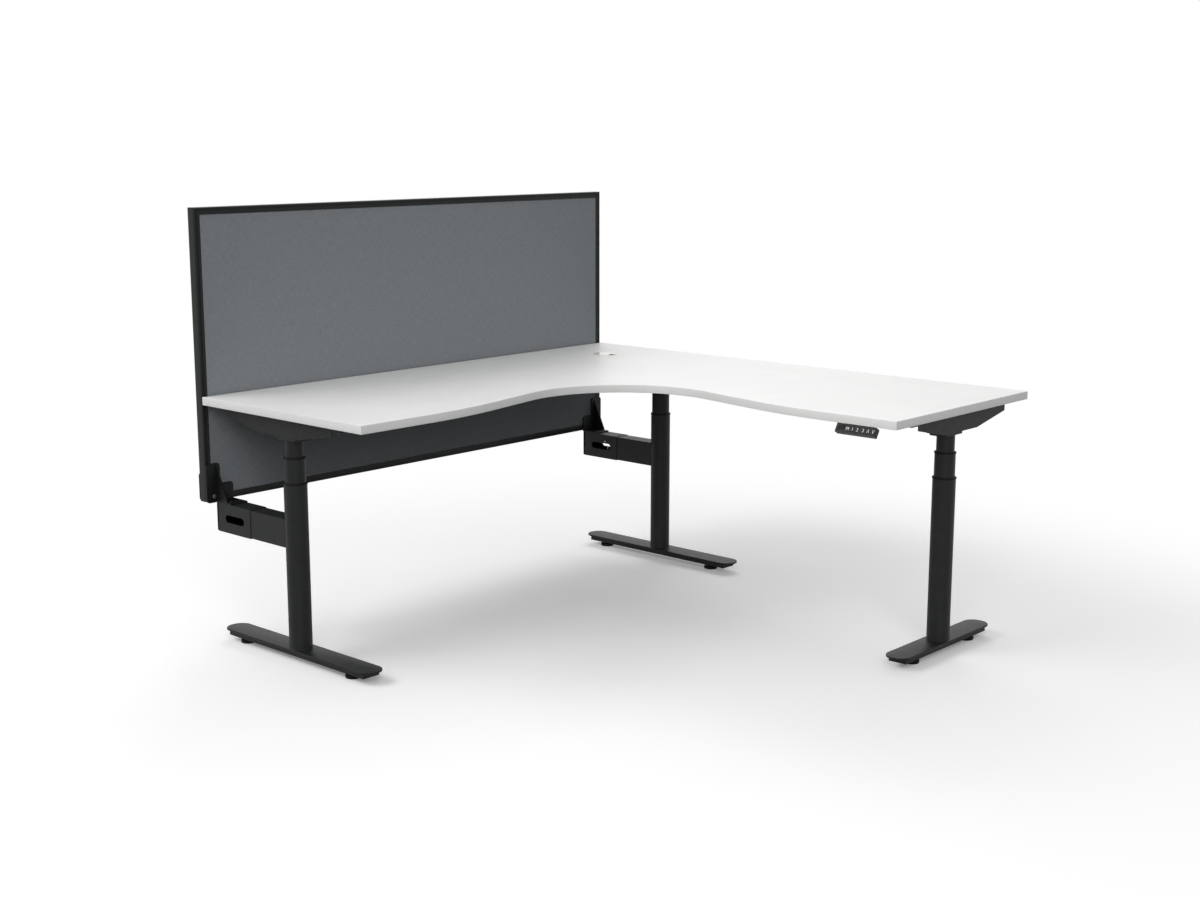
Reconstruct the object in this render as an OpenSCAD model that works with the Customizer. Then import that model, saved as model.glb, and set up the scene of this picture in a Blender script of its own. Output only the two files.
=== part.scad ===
// L-shaped height-adjustable workstation on three round telescopic legs, with a
// fabric screen along the back of the left wing. The origin is the centre of the
// footprint at floor level, +X runs along the left wing, +Y towards the screen.

/* [Worktop] */
// Length of the left wing along its back edge
wing_l = 1800; // [1500:10:2100]
// Length of the right wing along its back edge
wing_r = 1800; // [1500:10:2100]
// Depth of both wings at their ends
wing_d = 750; // [730:1:785]
// Depth of both wings at the waist beside the corner
waist_d = 671; // [645:1:690]
// Radius of the hollow inner corner
corner_r = 320; // [270:1:370]
// Angle of the straight flare between the corner and the wing
flare_a = 11.8; // [9:0.1:14]
// Radius that blends the flare into the wing's front edge
blend_r = 1340; // [1000:10:1600]
// Thickness of the worktop board
top_t = 25; // [18:1:33]
// Height of the worktop's upper face above the floor
top_h = 770; // [755:1:800]
// Thickness of the edging strip
edge_t = 2; // [0.8:0.1:3]

/* [Screen] */
// Height of the screen
screen_h = 900; // [600:10:1100]
// Thickness of the screen's frame
screen_t = 32; // [30:1:40]
// Distance from the wing's end to the screen's end
screen_in = 0; // [0:1:8]
// Gap between the worktop's back edge and the screen
back_gap = 3; // [2:0.5:8]
// Width of the frame rail as seen from the front
rail_w = 21.5; // [18:0.5:26]
// Radius of the rail's outer edges
rail_r = 3; // [2:0.5:8]
// Thickness of the screen's core board
core_t = 24; // [18:0.5:25]
// Thickness of the fabric skin on each face
fabric_t = 1.5; // [1:0.1:1.8]

/* [Columns] */
// Distance from the wing's end to the column's axis
leg_in = 66; // [60:1:90]
// Distance from the back edge to the left and corner column axes
leg_back = 360; // [340:1:400]
// Distance from the back edge to the right column axis
leg_back_right = 370; // [340:1:400]
// Diameter of the lower, outer tube
outer_d = 70; // [69:0.5:74]
// Diameter of the middle tube
middle_d = 63; // [62:0.5:64]
// Diameter of the upper, inner tube
inner_d = 55; // [50:0.5:56]
// Wall of each tube
tube_wall = 2; // [1.5:0.1:2.2]
// Height of the outer tube's top above the floor
outer_top = 546; // [530:1:560]
// Height of the middle tube's top above the floor
middle_top = 623; // [615:1:640]
// Travel of the worktop below the height modelled
travel_down = 100; // [60:2:104]

/* [Feet] */
// Length of the left and corner foot plates
foot_l = 700; // [600:5:760]
// Length of the right foot plate
foot_l_right = 515; // [450:5:600]
// Width of the foot plates
foot_w = 80; // [76:1:100]
// Thickness of the foot plates
foot_t = 6; // [4:0.5:8]
// Height of the foot plate's upper face above the floor
foot_h = 40; // [38:1:46]
// Width of the folded channel under the plate
channel_w = 60; // [58:1:70]
// Diameter of the levelling pads
pad_d = 48; // [36:1:50]
// Height of the levelling pads
pad_h = 10; // [8:0.5:11]
// Distance between the two levelling pads of a long foot
pad_span = 508; // [440:2:520]
// Distance between the two levelling pads of the short foot
pad_span_right = 318; // [280:2:340]

/* [Screen arms] */
// Width of the arm's outer sleeve
arm_w = 62; // [56:1:64]
// Height of the arm's outer sleeve
arm_h = 90; // [84:1:100]
// Height of the arm's top above the floor
arm_top = 437; // [420:1:450]
// Length of the outer sleeve
sleeve_l = 170; // [165:1:190]
// Length of the cable slot in the sleeve
slot_l = 95; // [80:1:100]
// Height of the cable slot in the sleeve
slot_h = 24; // [18:1:28]
// Height of the bracket's tall plate above the arm
clamp_h = 123; // [100:1:140]
// Height of the bracket's low plate above the arm
clamp_low_h = 58; // [50:1:70]
// Width of the bracket's tall plate
clamp_w = 50; // [44:1:54]

/* [Under the worktop] */
// Length of the side beams
beam_l = 500; // [470:5:520]
// Width of the side beams
beam_w = 60; // [58:1:66]
// Depth of the side beams at the column, below the worktop
beam_h = 62; // [60:1:70]
// Depth of the side beams at their ends, below the worktop
beam_end_h = 30; // [26:1:40]
// Distance from the back edge to the side beams
beam_back = 75; // [60:1:90]
// Width of the crossrails
cross_w = 60; // [50:1:70]
// Height of the crossrails
cross_h = 30; // [25:1:36]

/* [Control] */
// Width of the handset
handset_w = 133; // [126:1:150]
// Height of the handset's face
handset_h = 27.4; // [25:0.2:32]
// Depth of the handset behind its face
handset_t = 17.6; // [15:0.2:20]
// Distance from the wing's end to the handset
handset_in = 64.5; // [30:0.5:400]
// Tilt of the handset's face from upright
handset_a = 31; // [20:1:40]
// Width of one button
button_w = 11; // [9:0.5:11.5]
// Spacing of the buttons
button_pitch = 16.6; // [15:0.1:16.8]

/* [Cable port] */
// Distance from both back edges to the port's centre
port_in = 250; // [200:1:280]
// Diameter of the port's rim
port_d = 84; // [84:1:92]
// Diameter of the hole cut for the port
port_hole_d = 80; // [70:1:80]

/* [Hidden] */
$fn = 96;

// Overrun of every cut past the face that it opens
cut = 1;
// Clearance between loosely fitted pieces
fit = 0.3;
// Radial clearance of a sliding or turning fit
run = 0.1;
// Side of one steel sheet used for beams and rails
sheet_t = 2.5;

// Hardware sizes
m8_r = 4;
m8_head_r = 6.5;
m8_head_h = 5;
m6_r = 3;
m6_head_r = 5;
m6_head_h = 3;
wood_screw_r = 2.4;
wood_screw_head_r = 4.5;
wood_screw_head_h = 2.5;
wood_screw_grip = 15;
hole_play = 0.2;
nut_h = 5;
hex_sides = 6;

// Placing in plan: the worktop's back corner, measured from the origin
clamp_t = 4;
face_plate_t = 5;
back_reach = back_gap + screen_t + clamp_t + nut_h;
corner_x = wing_l / 2;
corner_y = (wing_r - back_reach) / 2;

// Heights
under = top_h - top_t;
side_plate_t = 4;
beam_top = under - side_plate_t;
beam_low = under - beam_h;
flange_t = 7;
flange_l = 100;
flange_low = beam_low - flange_t;

// Worktop outline, as arcs about centres that an inset leaves in place
bend_c = waist_d + corner_r;
blend_cy = blend_r - wing_d;
touch_x = -bend_c - corner_r * sin(flare_a);
touch_y = -bend_c + corner_r * cos(flare_a);
join_y = blend_cy - blend_r * cos(flare_a);
join_x = touch_x - (touch_y - join_y) / tan(flare_a);
blend_cx = join_x - blend_r * sin(flare_a);
bend_steps = 36;
blend_steps = 12;

function arc_points(x, y, r, a0, a1, n) =
    [for (i = [0:n]) [x + r * cos(a0 + (a1 - a0) * i / n), y + r * sin(a0 + (a1 - a0) * i / n)]];
function swapped(p) = [for (i = [len(p) - 1:-1:0]) [p[i][1], p[i][0]]];

// The outline drawn inwards by e. A wing too short for its whole blend ends within it.
function blend_start(end, e) = 270 + asin(max(0, end - blend_cx) / (blend_r - e));
function wing_edge(end, e) = concat(
    [[end, -e]],
    end < blend_cx ? [[end, -wing_d + e]] : [],
    arc_points(blend_cx, blend_cy, blend_r - e, blend_start(end, e), 270 + flare_a, blend_steps));
function worktop_outline(e) = concat(
    [[-e, -e]],
    wing_edge(-wing_l + e, e),
    arc_points(-bend_c, -bend_c, corner_r + e, 90 + flare_a, -flare_a, bend_steps),
    swapped(wing_edge(-wing_r + e, e)));

// One record for each column: x, y, turn, foot length, foot shift, pad span, the
// distance behind it, and the side of its beam whose web runs on to the front end.
// The turn brings the column's own +Y to the back edge of its wing
foot_shift = -2;
foot_shift_right = 3;
pad_shift = 10;
left_col = [-wing_l + leg_in, -leg_back, 0, foot_l, foot_shift, pad_span, leg_back, -1];
corner_col = [-leg_in, -leg_back, 0, foot_l, foot_shift, pad_span, leg_back, 1];
right_col = [-leg_back_right, -wing_r + leg_in, -90, foot_l_right, foot_shift_right, pad_span_right,
    leg_back_right, 1];
columns = [left_col, corner_col, right_col];

// Columns
collar_h = 4;
collar_lip = 1.6;
collar_depth = 40;
base_t = 8;
bolt_ring_r = 22;
bolt_short = 1;
plug_t = 10;
end_gap = 10;
middle_low = foot_h + base_t + end_gap + travel_down / 2 + plug_t;
inner_seat = 4;
inner_top = flange_low + inner_seat;
inner_low = middle_low + end_gap + travel_down / 2 + plug_t;
glide_t = (outer_d - middle_d) / 2 - tube_wall - run;
spindle_r = 6;
spindle_end_gap = 2;
spindle_low = foot_h + base_t + travel_down + spindle_end_gap;
spindle_head_l = 20;
spindle_shoulder_r = 10;
spindle_shoulder_h = 6;
spindle_floor_t = 5;
post_r = 14;
post_bore_r = 8;
post_l = 365;
nut_top = middle_low + post_l;
spindle_nut_h = 25;

// Feet
plate_flat = 4;
plate_r = (foot_w - plate_flat) / 2;
channel_t = 3;
channel_low = 18;
channel_in = 27;
stud_r = 5;
stud_gap = 3;
neck_r = 9;
stud_top = foot_h - foot_t - stud_gap;

// Arms and brackets
sleeve_wall = 1.2;
inner_arm_play = fit;
inner_arm_wall = 2.5;
inner_arm_end = 142;
saddle_t = 8;
saddle_hug = 20;
slot_in = 91;
slot_hole_r = 1.75;
slot_hole_dy = 20;
slot_hole_dz = 19;
cap_t = 8;
bracket_side = 31;
bracket_t = 5;
bracket_l = 74;
rib_l = 55;
rib_drop = 6;
bracket_r = 10;
bolt_end_in = 27;
bolt_up = 16;
bolt_head_r = 7;
clamp_back_h = 89;
arm_mid = arm_top - arm_h / 2;
screen_gap = 4;
screen_low = arm_top + screen_gap;
screen_l = wing_l - 2 * screen_in;
base_screw_in = 18;
clamp_screw_head_h = 1.2;

// Screen
groove_d = 12;
panel_t = core_t + 2 * fabric_t;
groove_play = 0.2;
panel_in = rail_w - groove_d + groove_play;
screen_mid_y = back_gap + screen_t / 2;
chamber_wall = 2;
chamber_w = 12;
face_groove_in = 4.5;
face_groove_w = 7;
face_groove_deep = 1;
key_l = 45;

// Beams, housings and rails
beam_flat_front = 60;
beam_flat_back = 130;
plate_side = 10;
plate_front = 52;
plate_lip_h = 8;
housing_l = 80;
housing_w = 52;
housing_neck_r = 20;
housing_gap = 3;
housing_low = beam_low + sheet_t;
housing_top = beam_top - housing_gap;
spindle_shoulder_z = housing_low + spindle_floor_t;
spindle_top = spindle_shoulder_z + spindle_shoulder_h + spindle_head_l;
motor_r = 24;
motor_l = 85;
screw_rows_share = [0.12, 0.5, 0.94];
cross_side = beam_w / 2;

// Control box
box_l = 250;
box_w = 100;
box_h = 38;
box_in = 650;
box_back = 210;
box_wall_r = 6;
inlet_w = 28;
inlet_h = 20;
inlet_deep = 16;
socket_w = 16;
socket_h = 10;
socket_deep = 12;
sockets = 4;
socket_pitch = 34;
inlet_at = 30;
sockets_at = 84;
lug_l = 14;
lug_t = 4;

// Handset
handset_tab_w = 84;
handset_tab_l = 34;
button_h = 17;
button_t = 3;
button_travel = 0.8;
button_proud = 0.4;
button_first = 40;
button_group = 3;
button_group_gap = 2.6;
button_back = 0.4;
buttons = 6;

// Cable port
port_wall = 4.5;
port_rim_t = 1.5;
port_drop = 8;
cap_top_t = 2.4;
cap_skirt_h = 6;
cap_skirt_t = 2.5;
mouth_w = 28;
mouth_deep = 20;
port_r_out = port_hole_d / 2 - fit;
port_r_in = port_r_out - port_wall;

// Places

module at_corner() {
    translate([corner_x, corner_y, 0]) children();
}

module at_column(c) {
    at_corner() translate([c[0], c[1], 0]) rotate([0, 0, c[2]]) children();
}

module ring(r_out, r_in, low, high) {
    translate([0, 0, low]) difference() {
        cylinder(r = r_out, h = high - low);
        translate([0, 0, -cut]) cylinder(r = r_in, h = high - low + 2 * cut);
    }
}

// A rounded rectangle in plan, from exact circles and squares
module round_rect(l, w, r) {
    square([l - 2 * r, w], center = true);
    square([l, w - 2 * r], center = true);
    for (sx = [-1, 1]) {
        for (sy = [-1, 1]) translate([sx * (l / 2 - r), sy * (w / 2 - r)]) circle(r);
    }
}

// Feet

module foot_plate_of(c) {
    translate([0, c[4], foot_h - foot_t]) difference() {
        linear_extrude(foot_t) rotate([0, 0, 90]) round_rect(c[3], foot_w, plate_r);
        translate([0, -c[4], 0]) foot_bolt_holes(-cut, foot_t + cut);
    }
}

module foot_bolt_holes(low, high) {
    for (a = [45:90:315]) {
        rotate([0, 0, a]) translate([bolt_ring_r, 0, low]) cylinder(r = m8_r + hole_play, h = high - low);
    }
}

module foot_plates() {
    color("#333436") for (c = columns) at_column(c) foot_plate_of(c);
}

// A folded tray with its open side up against the plate
module channel_of(c) {
    l = c[3] - 2 * channel_in;
    h = foot_h - foot_t - channel_low;
    inner_l = l - 2 * channel_t;
    inner_w = channel_w - 2 * channel_t;
    translate([0, c[4], channel_low]) difference() {
        translate([-channel_w / 2, -l / 2, 0]) cube([channel_w, l, h]);
        translate([-inner_w / 2, -inner_l / 2, channel_t]) cube([inner_w, inner_l, h]);
        for (s = [-1, 1]) {
            translate([0, pad_place(c, s) - c[4], -cut])
                cylinder(r = stud_r + run, h = channel_t + 2 * cut);
        }
    }
}

function pad_place(c, s) = pad_shift + s * c[5] / 2;

module foot_channels() {
    color("#232426") for (c = columns) at_column(c) channel_of(c);
}

module levelling_foot(c, s) {
    color("#111213") at_column(c) translate([0, pad_place(c, s), 0]) {
        cylinder(d = pad_d, h = pad_h);
        cylinder(r = neck_r, h = channel_low - fit);
        cylinder(r = stud_r, h = stud_top);
    }
}

module levelling_foot_left_front() {
    levelling_foot(left_col, -1);
}

module levelling_foot_left_back() {
    levelling_foot(left_col, 1);
}

module levelling_foot_corner_front() {
    levelling_foot(corner_col, -1);
}

module levelling_foot_corner_back() {
    levelling_foot(corner_col, 1);
}

module levelling_foot_right_front() {
    levelling_foot(right_col, -1);
}

module levelling_foot_right_back() {
    levelling_foot(right_col, 1);
}

module foot_bolts() {
    plate_low = foot_h - foot_t;
    color("#8d9094") for (c = columns) at_column(c) {
        for (a = [45:90:315]) rotate([0, 0, a]) translate([bolt_ring_r, 0, plate_low - m8_head_h]) {
            cylinder(r = m8_head_r, h = m8_head_h);
            cylinder(r = m8_r, h = m8_head_h + foot_t + base_t - bolt_short);
        }
    }
}

// Columns

module outer_tube(c) {
    color("#2b2c2e") at_column(c) difference() {
        translate([0, 0, foot_h]) cylinder(d = outer_d, h = outer_top - collar_h - foot_h);
        translate([0, 0, foot_h + base_t]) cylinder(r = outer_d / 2 - tube_wall, h = outer_top);
        foot_bolt_holes(foot_h - cut, foot_h + base_t + cut);
    }
}

module outer_tube_left() {
    outer_tube(left_col);
}

module outer_tube_corner() {
    outer_tube(corner_col);
}

module outer_tube_right() {
    outer_tube(right_col);
}

// A glide: a thin rim on the tube's end and a sleeve inside it
module glide_collar(d, bore_d, top) {
    ring(d / 2 + collar_lip, bore_d / 2 + run, top - collar_h, top);
    ring(d / 2 - tube_wall - hole_play, bore_d / 2 + run, top - collar_depth, top - collar_h / 2);
}

module outer_collars() {
    color("#151617") for (c = columns) at_column(c) glide_collar(outer_d, middle_d, outer_top);
}

module middle_tube(c) {
    color("#2b2c2e") at_column(c)
        ring(middle_d / 2, middle_d / 2 - tube_wall, middle_low, middle_top - collar_h);
}

module middle_tube_left() {
    middle_tube(left_col);
}

module middle_tube_corner() {
    middle_tube(corner_col);
}

module middle_tube_right() {
    middle_tube(right_col);
}

// The middle tube's glide collar above, and below it a plug with a lower glide,
// carrying the post that holds the spindle's nut
module middle_guides(c) {
    bore_r = middle_d / 2 - tube_wall;
    color("#151617") at_column(c) {
        glide_collar(middle_d, inner_d, middle_top);
        ring(bore_r - hole_play, post_bore_r, middle_low, middle_low + plug_t);
        ring(middle_d / 2 + glide_t, post_bore_r, middle_low - plug_t, middle_low);
        ring(post_r, post_bore_r, middle_low, nut_top - spindle_nut_h);
        ring(post_r, spindle_r + run, nut_top - spindle_nut_h, nut_top);
    }
}

module middle_guides_left() {
    middle_guides(left_col);
}

module middle_guides_corner() {
    middle_guides(corner_col);
}

module middle_guides_right() {
    middle_guides(right_col);
}

module inner_tube(c) {
    color("#2b2c2e") at_column(c) ring(inner_d / 2, inner_d / 2 - tube_wall, inner_low, inner_top);
}

module inner_tube_left() {
    inner_tube(left_col);
}

module inner_tube_corner() {
    inner_tube(corner_col);
}

module inner_tube_right() {
    inner_tube(right_col);
}

module spindle(c) {
    color("#a5a8ab") at_column(c) {
        translate([0, 0, spindle_low]) cylinder(r = spindle_r, h = spindle_top - spindle_low);
        translate([0, 0, spindle_shoulder_z]) cylinder(r = spindle_shoulder_r, h = spindle_shoulder_h);
    }
}

module spindle_left() {
    spindle(left_col);
}

module spindle_corner() {
    spindle(corner_col);
}

module spindle_right() {
    spindle(right_col);
}

// Arms that carry the screen

// Box section along +Y, centred on the arm's axis
module box_tube(w, h, wall, from, to) {
    translate([-w / 2, from, arm_mid - h / 2]) difference() {
        cube([w, to - from, h]);
        translate([wall, -cut, wall]) cube([w - 2 * wall, to - from + 2 * cut, h - 2 * wall]);
    }
}

module inner_arm_of(c) {
    gap = 2 * sleeve_wall + 2 * inner_arm_play;
    w = arm_w - gap;
    h = arm_h - gap;
    saddle_end = outer_d / 2 + saddle_t;
    box_tube(w, h, inner_arm_wall, saddle_end, c[6] - inner_arm_end);
    difference() {
        translate([-w / 2, outer_d / 2 - saddle_hug, arm_mid - h / 2])
            cube([w, saddle_hug + saddle_t, h]);
        translate([0, 0, arm_mid - arm_h]) cylinder(r = outer_d / 2 + run, h = 2 * arm_h);
    }
}

module inner_arms() {
    color("#27282a") for (c = [left_col, corner_col]) at_column(c) inner_arm_of(c);
}

module slot_cut(w) {
    reach = (slot_l - slot_h) / 2;
    rotate([0, 90, 0]) {
        for (s = [-1, 1]) translate([0, s * reach, -w / 2]) cylinder(d = slot_h, h = w);
        translate([-slot_h / 2, -reach, -w / 2]) cube([slot_h, 2 * reach, w]);
        for (sy = [-1, 1]) {
            for (sz = [-1, 1]) {
                translate([sz * slot_hole_dz, sy * slot_hole_dy, -w / 2]) cylinder(r = slot_hole_r, h = w);
            }
        }
    }
}

module arm_sleeve(c) {
    color("#2f3032") at_column(c) difference() {
        box_tube(arm_w, arm_h, sleeve_wall, c[6] - sleeve_l, c[6] - cap_t);
        translate([0, c[6] - slot_in, arm_mid]) slot_cut(arm_w + 2 * cut);
        for (y = sleeve_screw_places(c)) {
            translate([0, y, arm_mid]) cylinder(r = m6_r + hole_play, h = arm_h);
        }
        for (x = base_screw_places()) {
            translate([x, c[6] - base_screw_in - bracket_l / 2, arm_mid])
                cylinder(r = m6_r + hole_play, h = arm_h);
        }
    }
}

// One screw through the sleeve's top presses on the inner arm
function sleeve_screw_places(c) = [c[6] - (sleeve_l + inner_arm_end) / 2];
function base_screw_places() = [-arm_w / 4, arm_w / 4];

module arm_sleeve_left() {
    arm_sleeve(left_col);
}

module arm_sleeve_corner() {
    arm_sleeve(corner_col);
}

module arm_end_caps() {
    color("#121314") for (c = [left_col, corner_col]) at_column(c) {
        translate([0, c[6], arm_mid]) rotate([90, 0, 0]) {
            linear_extrude(cap_t) round_rect(arm_w, arm_h, cap_t / 2);
            linear_extrude(3 * cap_t) difference() {
                plug_w = arm_w - 2 * sleeve_wall - fit;
                plug_h = arm_h - 2 * sleeve_wall - fit;
                round_rect(plug_w, plug_h, cap_t / 2);
                round_rect(plug_w - cap_t, plug_h - cap_t, cap_t / 4);
            }
        }
    }
}

module sleeve_screws() {
    inside = arm_top - sleeve_wall - inner_arm_play;
    color("#1b1c1d") for (c = [left_col, corner_col]) at_column(c) {
        for (y = sleeve_screw_places(c)) translate([0, y, 0]) {
            translate([0, 0, arm_top]) cylinder(r = m6_head_r, h = clamp_screw_head_h);
            translate([0, 0, inside]) cylinder(r = m6_r, h = arm_top - inside + clamp_screw_head_h);
        }
        for (x = base_screw_places()) translate([x, c[6] - base_screw_in - bracket_l / 2, 0]) {
            translate([0, 0, arm_top + bracket_t]) cylinder(r = m6_head_r, h = m6_head_h);
            translate([0, 0, arm_top - 2 * m6_head_h]) cylinder(r = m6_r, h = 3 * m6_head_h + bracket_t);
        }
    }
}

// Screen bracket: base on the arm, face plate on the screen, and a rib.
// s is -1 at the screen's left end and 1 at its right end.
function screen_end(s) = s < 0 ? -wing_l + screen_in : -screen_in;
function bolt_x(s) = screen_end(s) - s * bolt_end_in;
function arm_x(s) = s < 0 ? -wing_l + leg_in : -leg_in;

// Face plate in the plane of the screen, drawn as x and height above the arm
module face_plate(s) {
    end = screen_end(s);
    inner = arm_x(s) - s * bracket_side;
    wide = abs(end - inner);
    tall_mid = end - s * clamp_w / 2;
    low_mid = (end + inner) / 2;
    translate([tall_mid, clamp_h / 2]) round_rect(clamp_w, clamp_h, bracket_r);
    translate([low_mid, clamp_low_h / 2]) round_rect(wide, clamp_low_h, bracket_r);
    translate([arm_x(s) - bracket_side, 0]) square([2 * bracket_side, clamp_low_h / 2]);
}

module screen_bracket(s) {
    mid = arm_x(s);
    rib_x = s < 0 ? mid - bracket_side : mid + bracket_side - bracket_t;
    face = back_gap - face_plate_t;
    color("#1b1c1d") at_corner() difference() {
        translate([0, 0, arm_top]) union() {
            translate([mid - bracket_side, -bracket_l, 0])
                cube([2 * bracket_side, bracket_l + face, bracket_t]);
            translate([0, back_gap, 0]) rotate([90, 0, 0]) linear_extrude(face_plate_t) face_plate(s);
            translate([rib_x, 0, 0]) rotate([90, 0, 90]) linear_extrude(bracket_t) polygon([
                [face, bracket_t],
                [face, clamp_h - rib_drop],
                [-rib_l, bracket_t]]);
        }
        translate([bolt_x(s), 0, screen_low + bolt_up]) rotate([90, 0, 0])
            cylinder(r = m6_r + hole_play, h = screen_t, center = true);
        for (x = base_screw_places()) {
            translate([mid + x, -base_screw_in - bracket_l / 2, arm_top - cut])
                cylinder(r = m6_r + hole_play, h = bracket_t + 2 * cut);
        }
    }
}

module screen_bracket_left() {
    screen_bracket(-1);
}

module screen_bracket_corner() {
    screen_bracket(1);
}

module clamp_plates() {
    color("#1b1c1d") at_corner() for (s = [-1, 1]) difference() {
        translate([screen_end(s) - s * clamp_w / 2, back_gap + screen_t + clamp_t, screen_low])
            rotate([90, 0, 0]) linear_extrude(clamp_t)
                translate([0, clamp_back_h / 2]) round_rect(clamp_w, clamp_back_h, bracket_r);
        translate([bolt_x(s), back_gap + screen_t, screen_low + bolt_up]) rotate([90, 0, 0])
            cylinder(r = m6_r + hole_play, h = screen_t, center = true);
    }
}

module screen_bolts() {
    shank = back_gap + screen_t + clamp_t + nut_h;
    face = back_gap - face_plate_t;
    color("#9a9da1") at_corner() for (s = [-1, 1]) {
        translate([bolt_x(s), 0, screen_low + bolt_up]) rotate([-90, 0, 0]) {
            translate([0, 0, face - m6_head_h]) cylinder(r = bolt_head_r, h = m6_head_h);
            translate([0, 0, face - m6_head_h]) cylinder(r = m6_r, h = shank - face + m6_head_h);
            translate([0, 0, shank - nut_h]) cylinder(r = m6_head_r, h = nut_h, $fn = hex_sides);
        }
    }
}

// Screen

// Rail section: x runs inwards from the screen's edge, y through its thickness.
// The groove holds the panel and the closed chamber outside it holds the corner keys.
// A shallow groove runs along each face, between the rim and the lip.
module rail_section() {
    half = screen_t / 2;
    groove = panel_t / 2 + groove_play / 2;
    chamber_l = rail_w - groove_d - 2 * chamber_wall;
    difference() {
        union() {
            translate([rail_r, -half]) square([rail_w - rail_r, screen_t]);
            translate([0, -half + rail_r]) square([rail_w, screen_t - 2 * rail_r]);
            for (s = [-1, 1]) translate([rail_r, s * (half - rail_r)]) circle(rail_r);
        }
        translate([rail_w - groove_d, -groove]) square([groove_d + cut, 2 * groove]);
        translate([chamber_wall, -chamber_w / 2]) square([chamber_l, chamber_w]);
        for (s = [-1, 1]) {
            translate([face_groove_in + face_groove_w / 2, s * half])
                square([face_groove_w, 2 * face_groove_deep], center = true);
        }
    }
}

// A rail of length l with both ends mitred, lying along X with its outer edge at z = 0
module mitred_rail(l) {
    intersection() {
        rotate([0, 90, 0]) linear_extrude(l, center = true) rotate([0, 0, 180]) rail_section();
        rotate([90, 0, 0]) linear_extrude(2 * screen_t, center = true)
            polygon([[-l / 2, 0], [l / 2, 0], [l / 2 - rail_w, rail_w], [-l / 2 + rail_w, rail_w]]);
    }
}

module at_screen() {
    at_corner() translate([-wing_l / 2, screen_mid_y, screen_low]) children();
}

module bolt_bores() {
    for (s = [-1, 1]) translate([s * (screen_l / 2 - bolt_end_in), 0, bolt_up]) {
        rotate([90, 0, 0]) cylinder(r = m6_r + hole_play, h = 2 * screen_t, center = true);
    }
}

module long_rails() {
    color("#1d1e20") at_screen() difference() {
        union() {
            mitred_rail(screen_l);
            translate([0, 0, screen_h]) rotate([180, 0, 0]) mitred_rail(screen_l);
        }
        bolt_bores();
    }
}

module side_rails() {
    color("#1d1e20") at_screen() for (s = [-1, 1]) {
        translate([s * screen_l / 2, 0, screen_h / 2]) rotate([0, -s * 90, 0]) mitred_rail(screen_h);
    }
}

// Corner keys: angle pieces in the rails' closed chambers, across the mitres
module corner_keys() {
    color("#9a9da1") at_screen() for (sx = [-1, 1]) {
        for (sz = [0, 1]) {
            translate([sx * (screen_l / 2), 0, sz * screen_h])
                mirror([sx > 0 ? 1 : 0, 0, 0]) mirror([0, 0, sz]) corner_key();
        }
    }
}

module corner_key() {
    low = chamber_wall + hole_play;
    key_t = rail_w - groove_d - 2 * low;
    key_w = chamber_w - 2 * hole_play;
    translate([low, -key_w / 2, low]) {
        cube([key_l, key_w, key_t]);
        cube([key_t, key_w, key_l]);
    }
}

module panel_slab(t, y) {
    l = screen_l - 2 * panel_in;
    h = screen_h - 2 * panel_in;
    translate([-l / 2, y - t / 2, panel_in]) cube([l, t, h]);
}

module screen_core() {
    color("#b9a27c") at_screen() difference() {
        panel_slab(core_t, 0);
        bolt_bores();
    }
}

module fabric_skin(s) {
    color("#6d7174") at_screen() difference() {
        panel_slab(fabric_t, s * (core_t + fabric_t) / 2);
        bolt_bores();
    }
}

module fabric_front() {
    fabric_skin(-1);
}

module fabric_back() {
    fabric_skin(1);
}

// Worktop

module port_bore(r) {
    translate([-port_in, -port_in, under - cut]) cylinder(r = r, h = top_t + 2 * cut);
}

module desktop() {
    color("#f2f2f1") difference() {
        at_corner() difference() {
            translate([0, 0, under]) linear_extrude(top_t) polygon(worktop_outline(edge_t));
            port_bore(port_hole_d / 2);
        }
        screw_bores();
    }
}

module edge_band() {
    color("#eeeeed") at_corner() translate([0, 0, under]) linear_extrude(top_t) difference() {
        polygon(worktop_outline(0));
        polygon(worktop_outline(edge_t));
    }
}

module grommet_liner() {
    color("#efeeea") at_corner() translate([-port_in, -port_in, 0]) {
        ring(port_r_out, port_r_in, under - port_drop, top_h);
        ring(port_d / 2, port_r_in, top_h, top_h + port_rim_t);
    }
}

module grommet_cap() {
    seat = top_h + port_rim_t + fit;
    skirt_r = port_r_in - fit;
    color("#f4f3ef") at_corner() translate([-port_in, -port_in, 0]) difference() {
        union() {
            translate([0, 0, seat]) cylinder(d = port_d, h = cap_top_t);
            ring(skirt_r, skirt_r - cap_skirt_t, seat - cap_skirt_h, seat);
        }
        translate([-mouth_w / 2, -port_d, seat - cap_skirt_h - cut])
            cube([mouth_w, port_d / 2 + mouth_deep, cap_skirt_h + cap_top_t + 2 * cut]);
    }
}

// Beams, side plates and rails

// Side view of a beam, along the column's own Y, with the wall taken off all round
module beam_side(c, in) {
    back = c[6] - beam_back;
    front = back - beam_l;
    polygon([
        [front + in, beam_top + (in > 0 ? cut : 0)],
        [front + in, under - beam_end_h + in],
        [-beam_flat_front, beam_low + in],
        [beam_flat_back, beam_low + in],
        [back - in, under - beam_end_h + in],
        [back - in, beam_top + (in > 0 ? cut : 0)]]);
}

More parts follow.
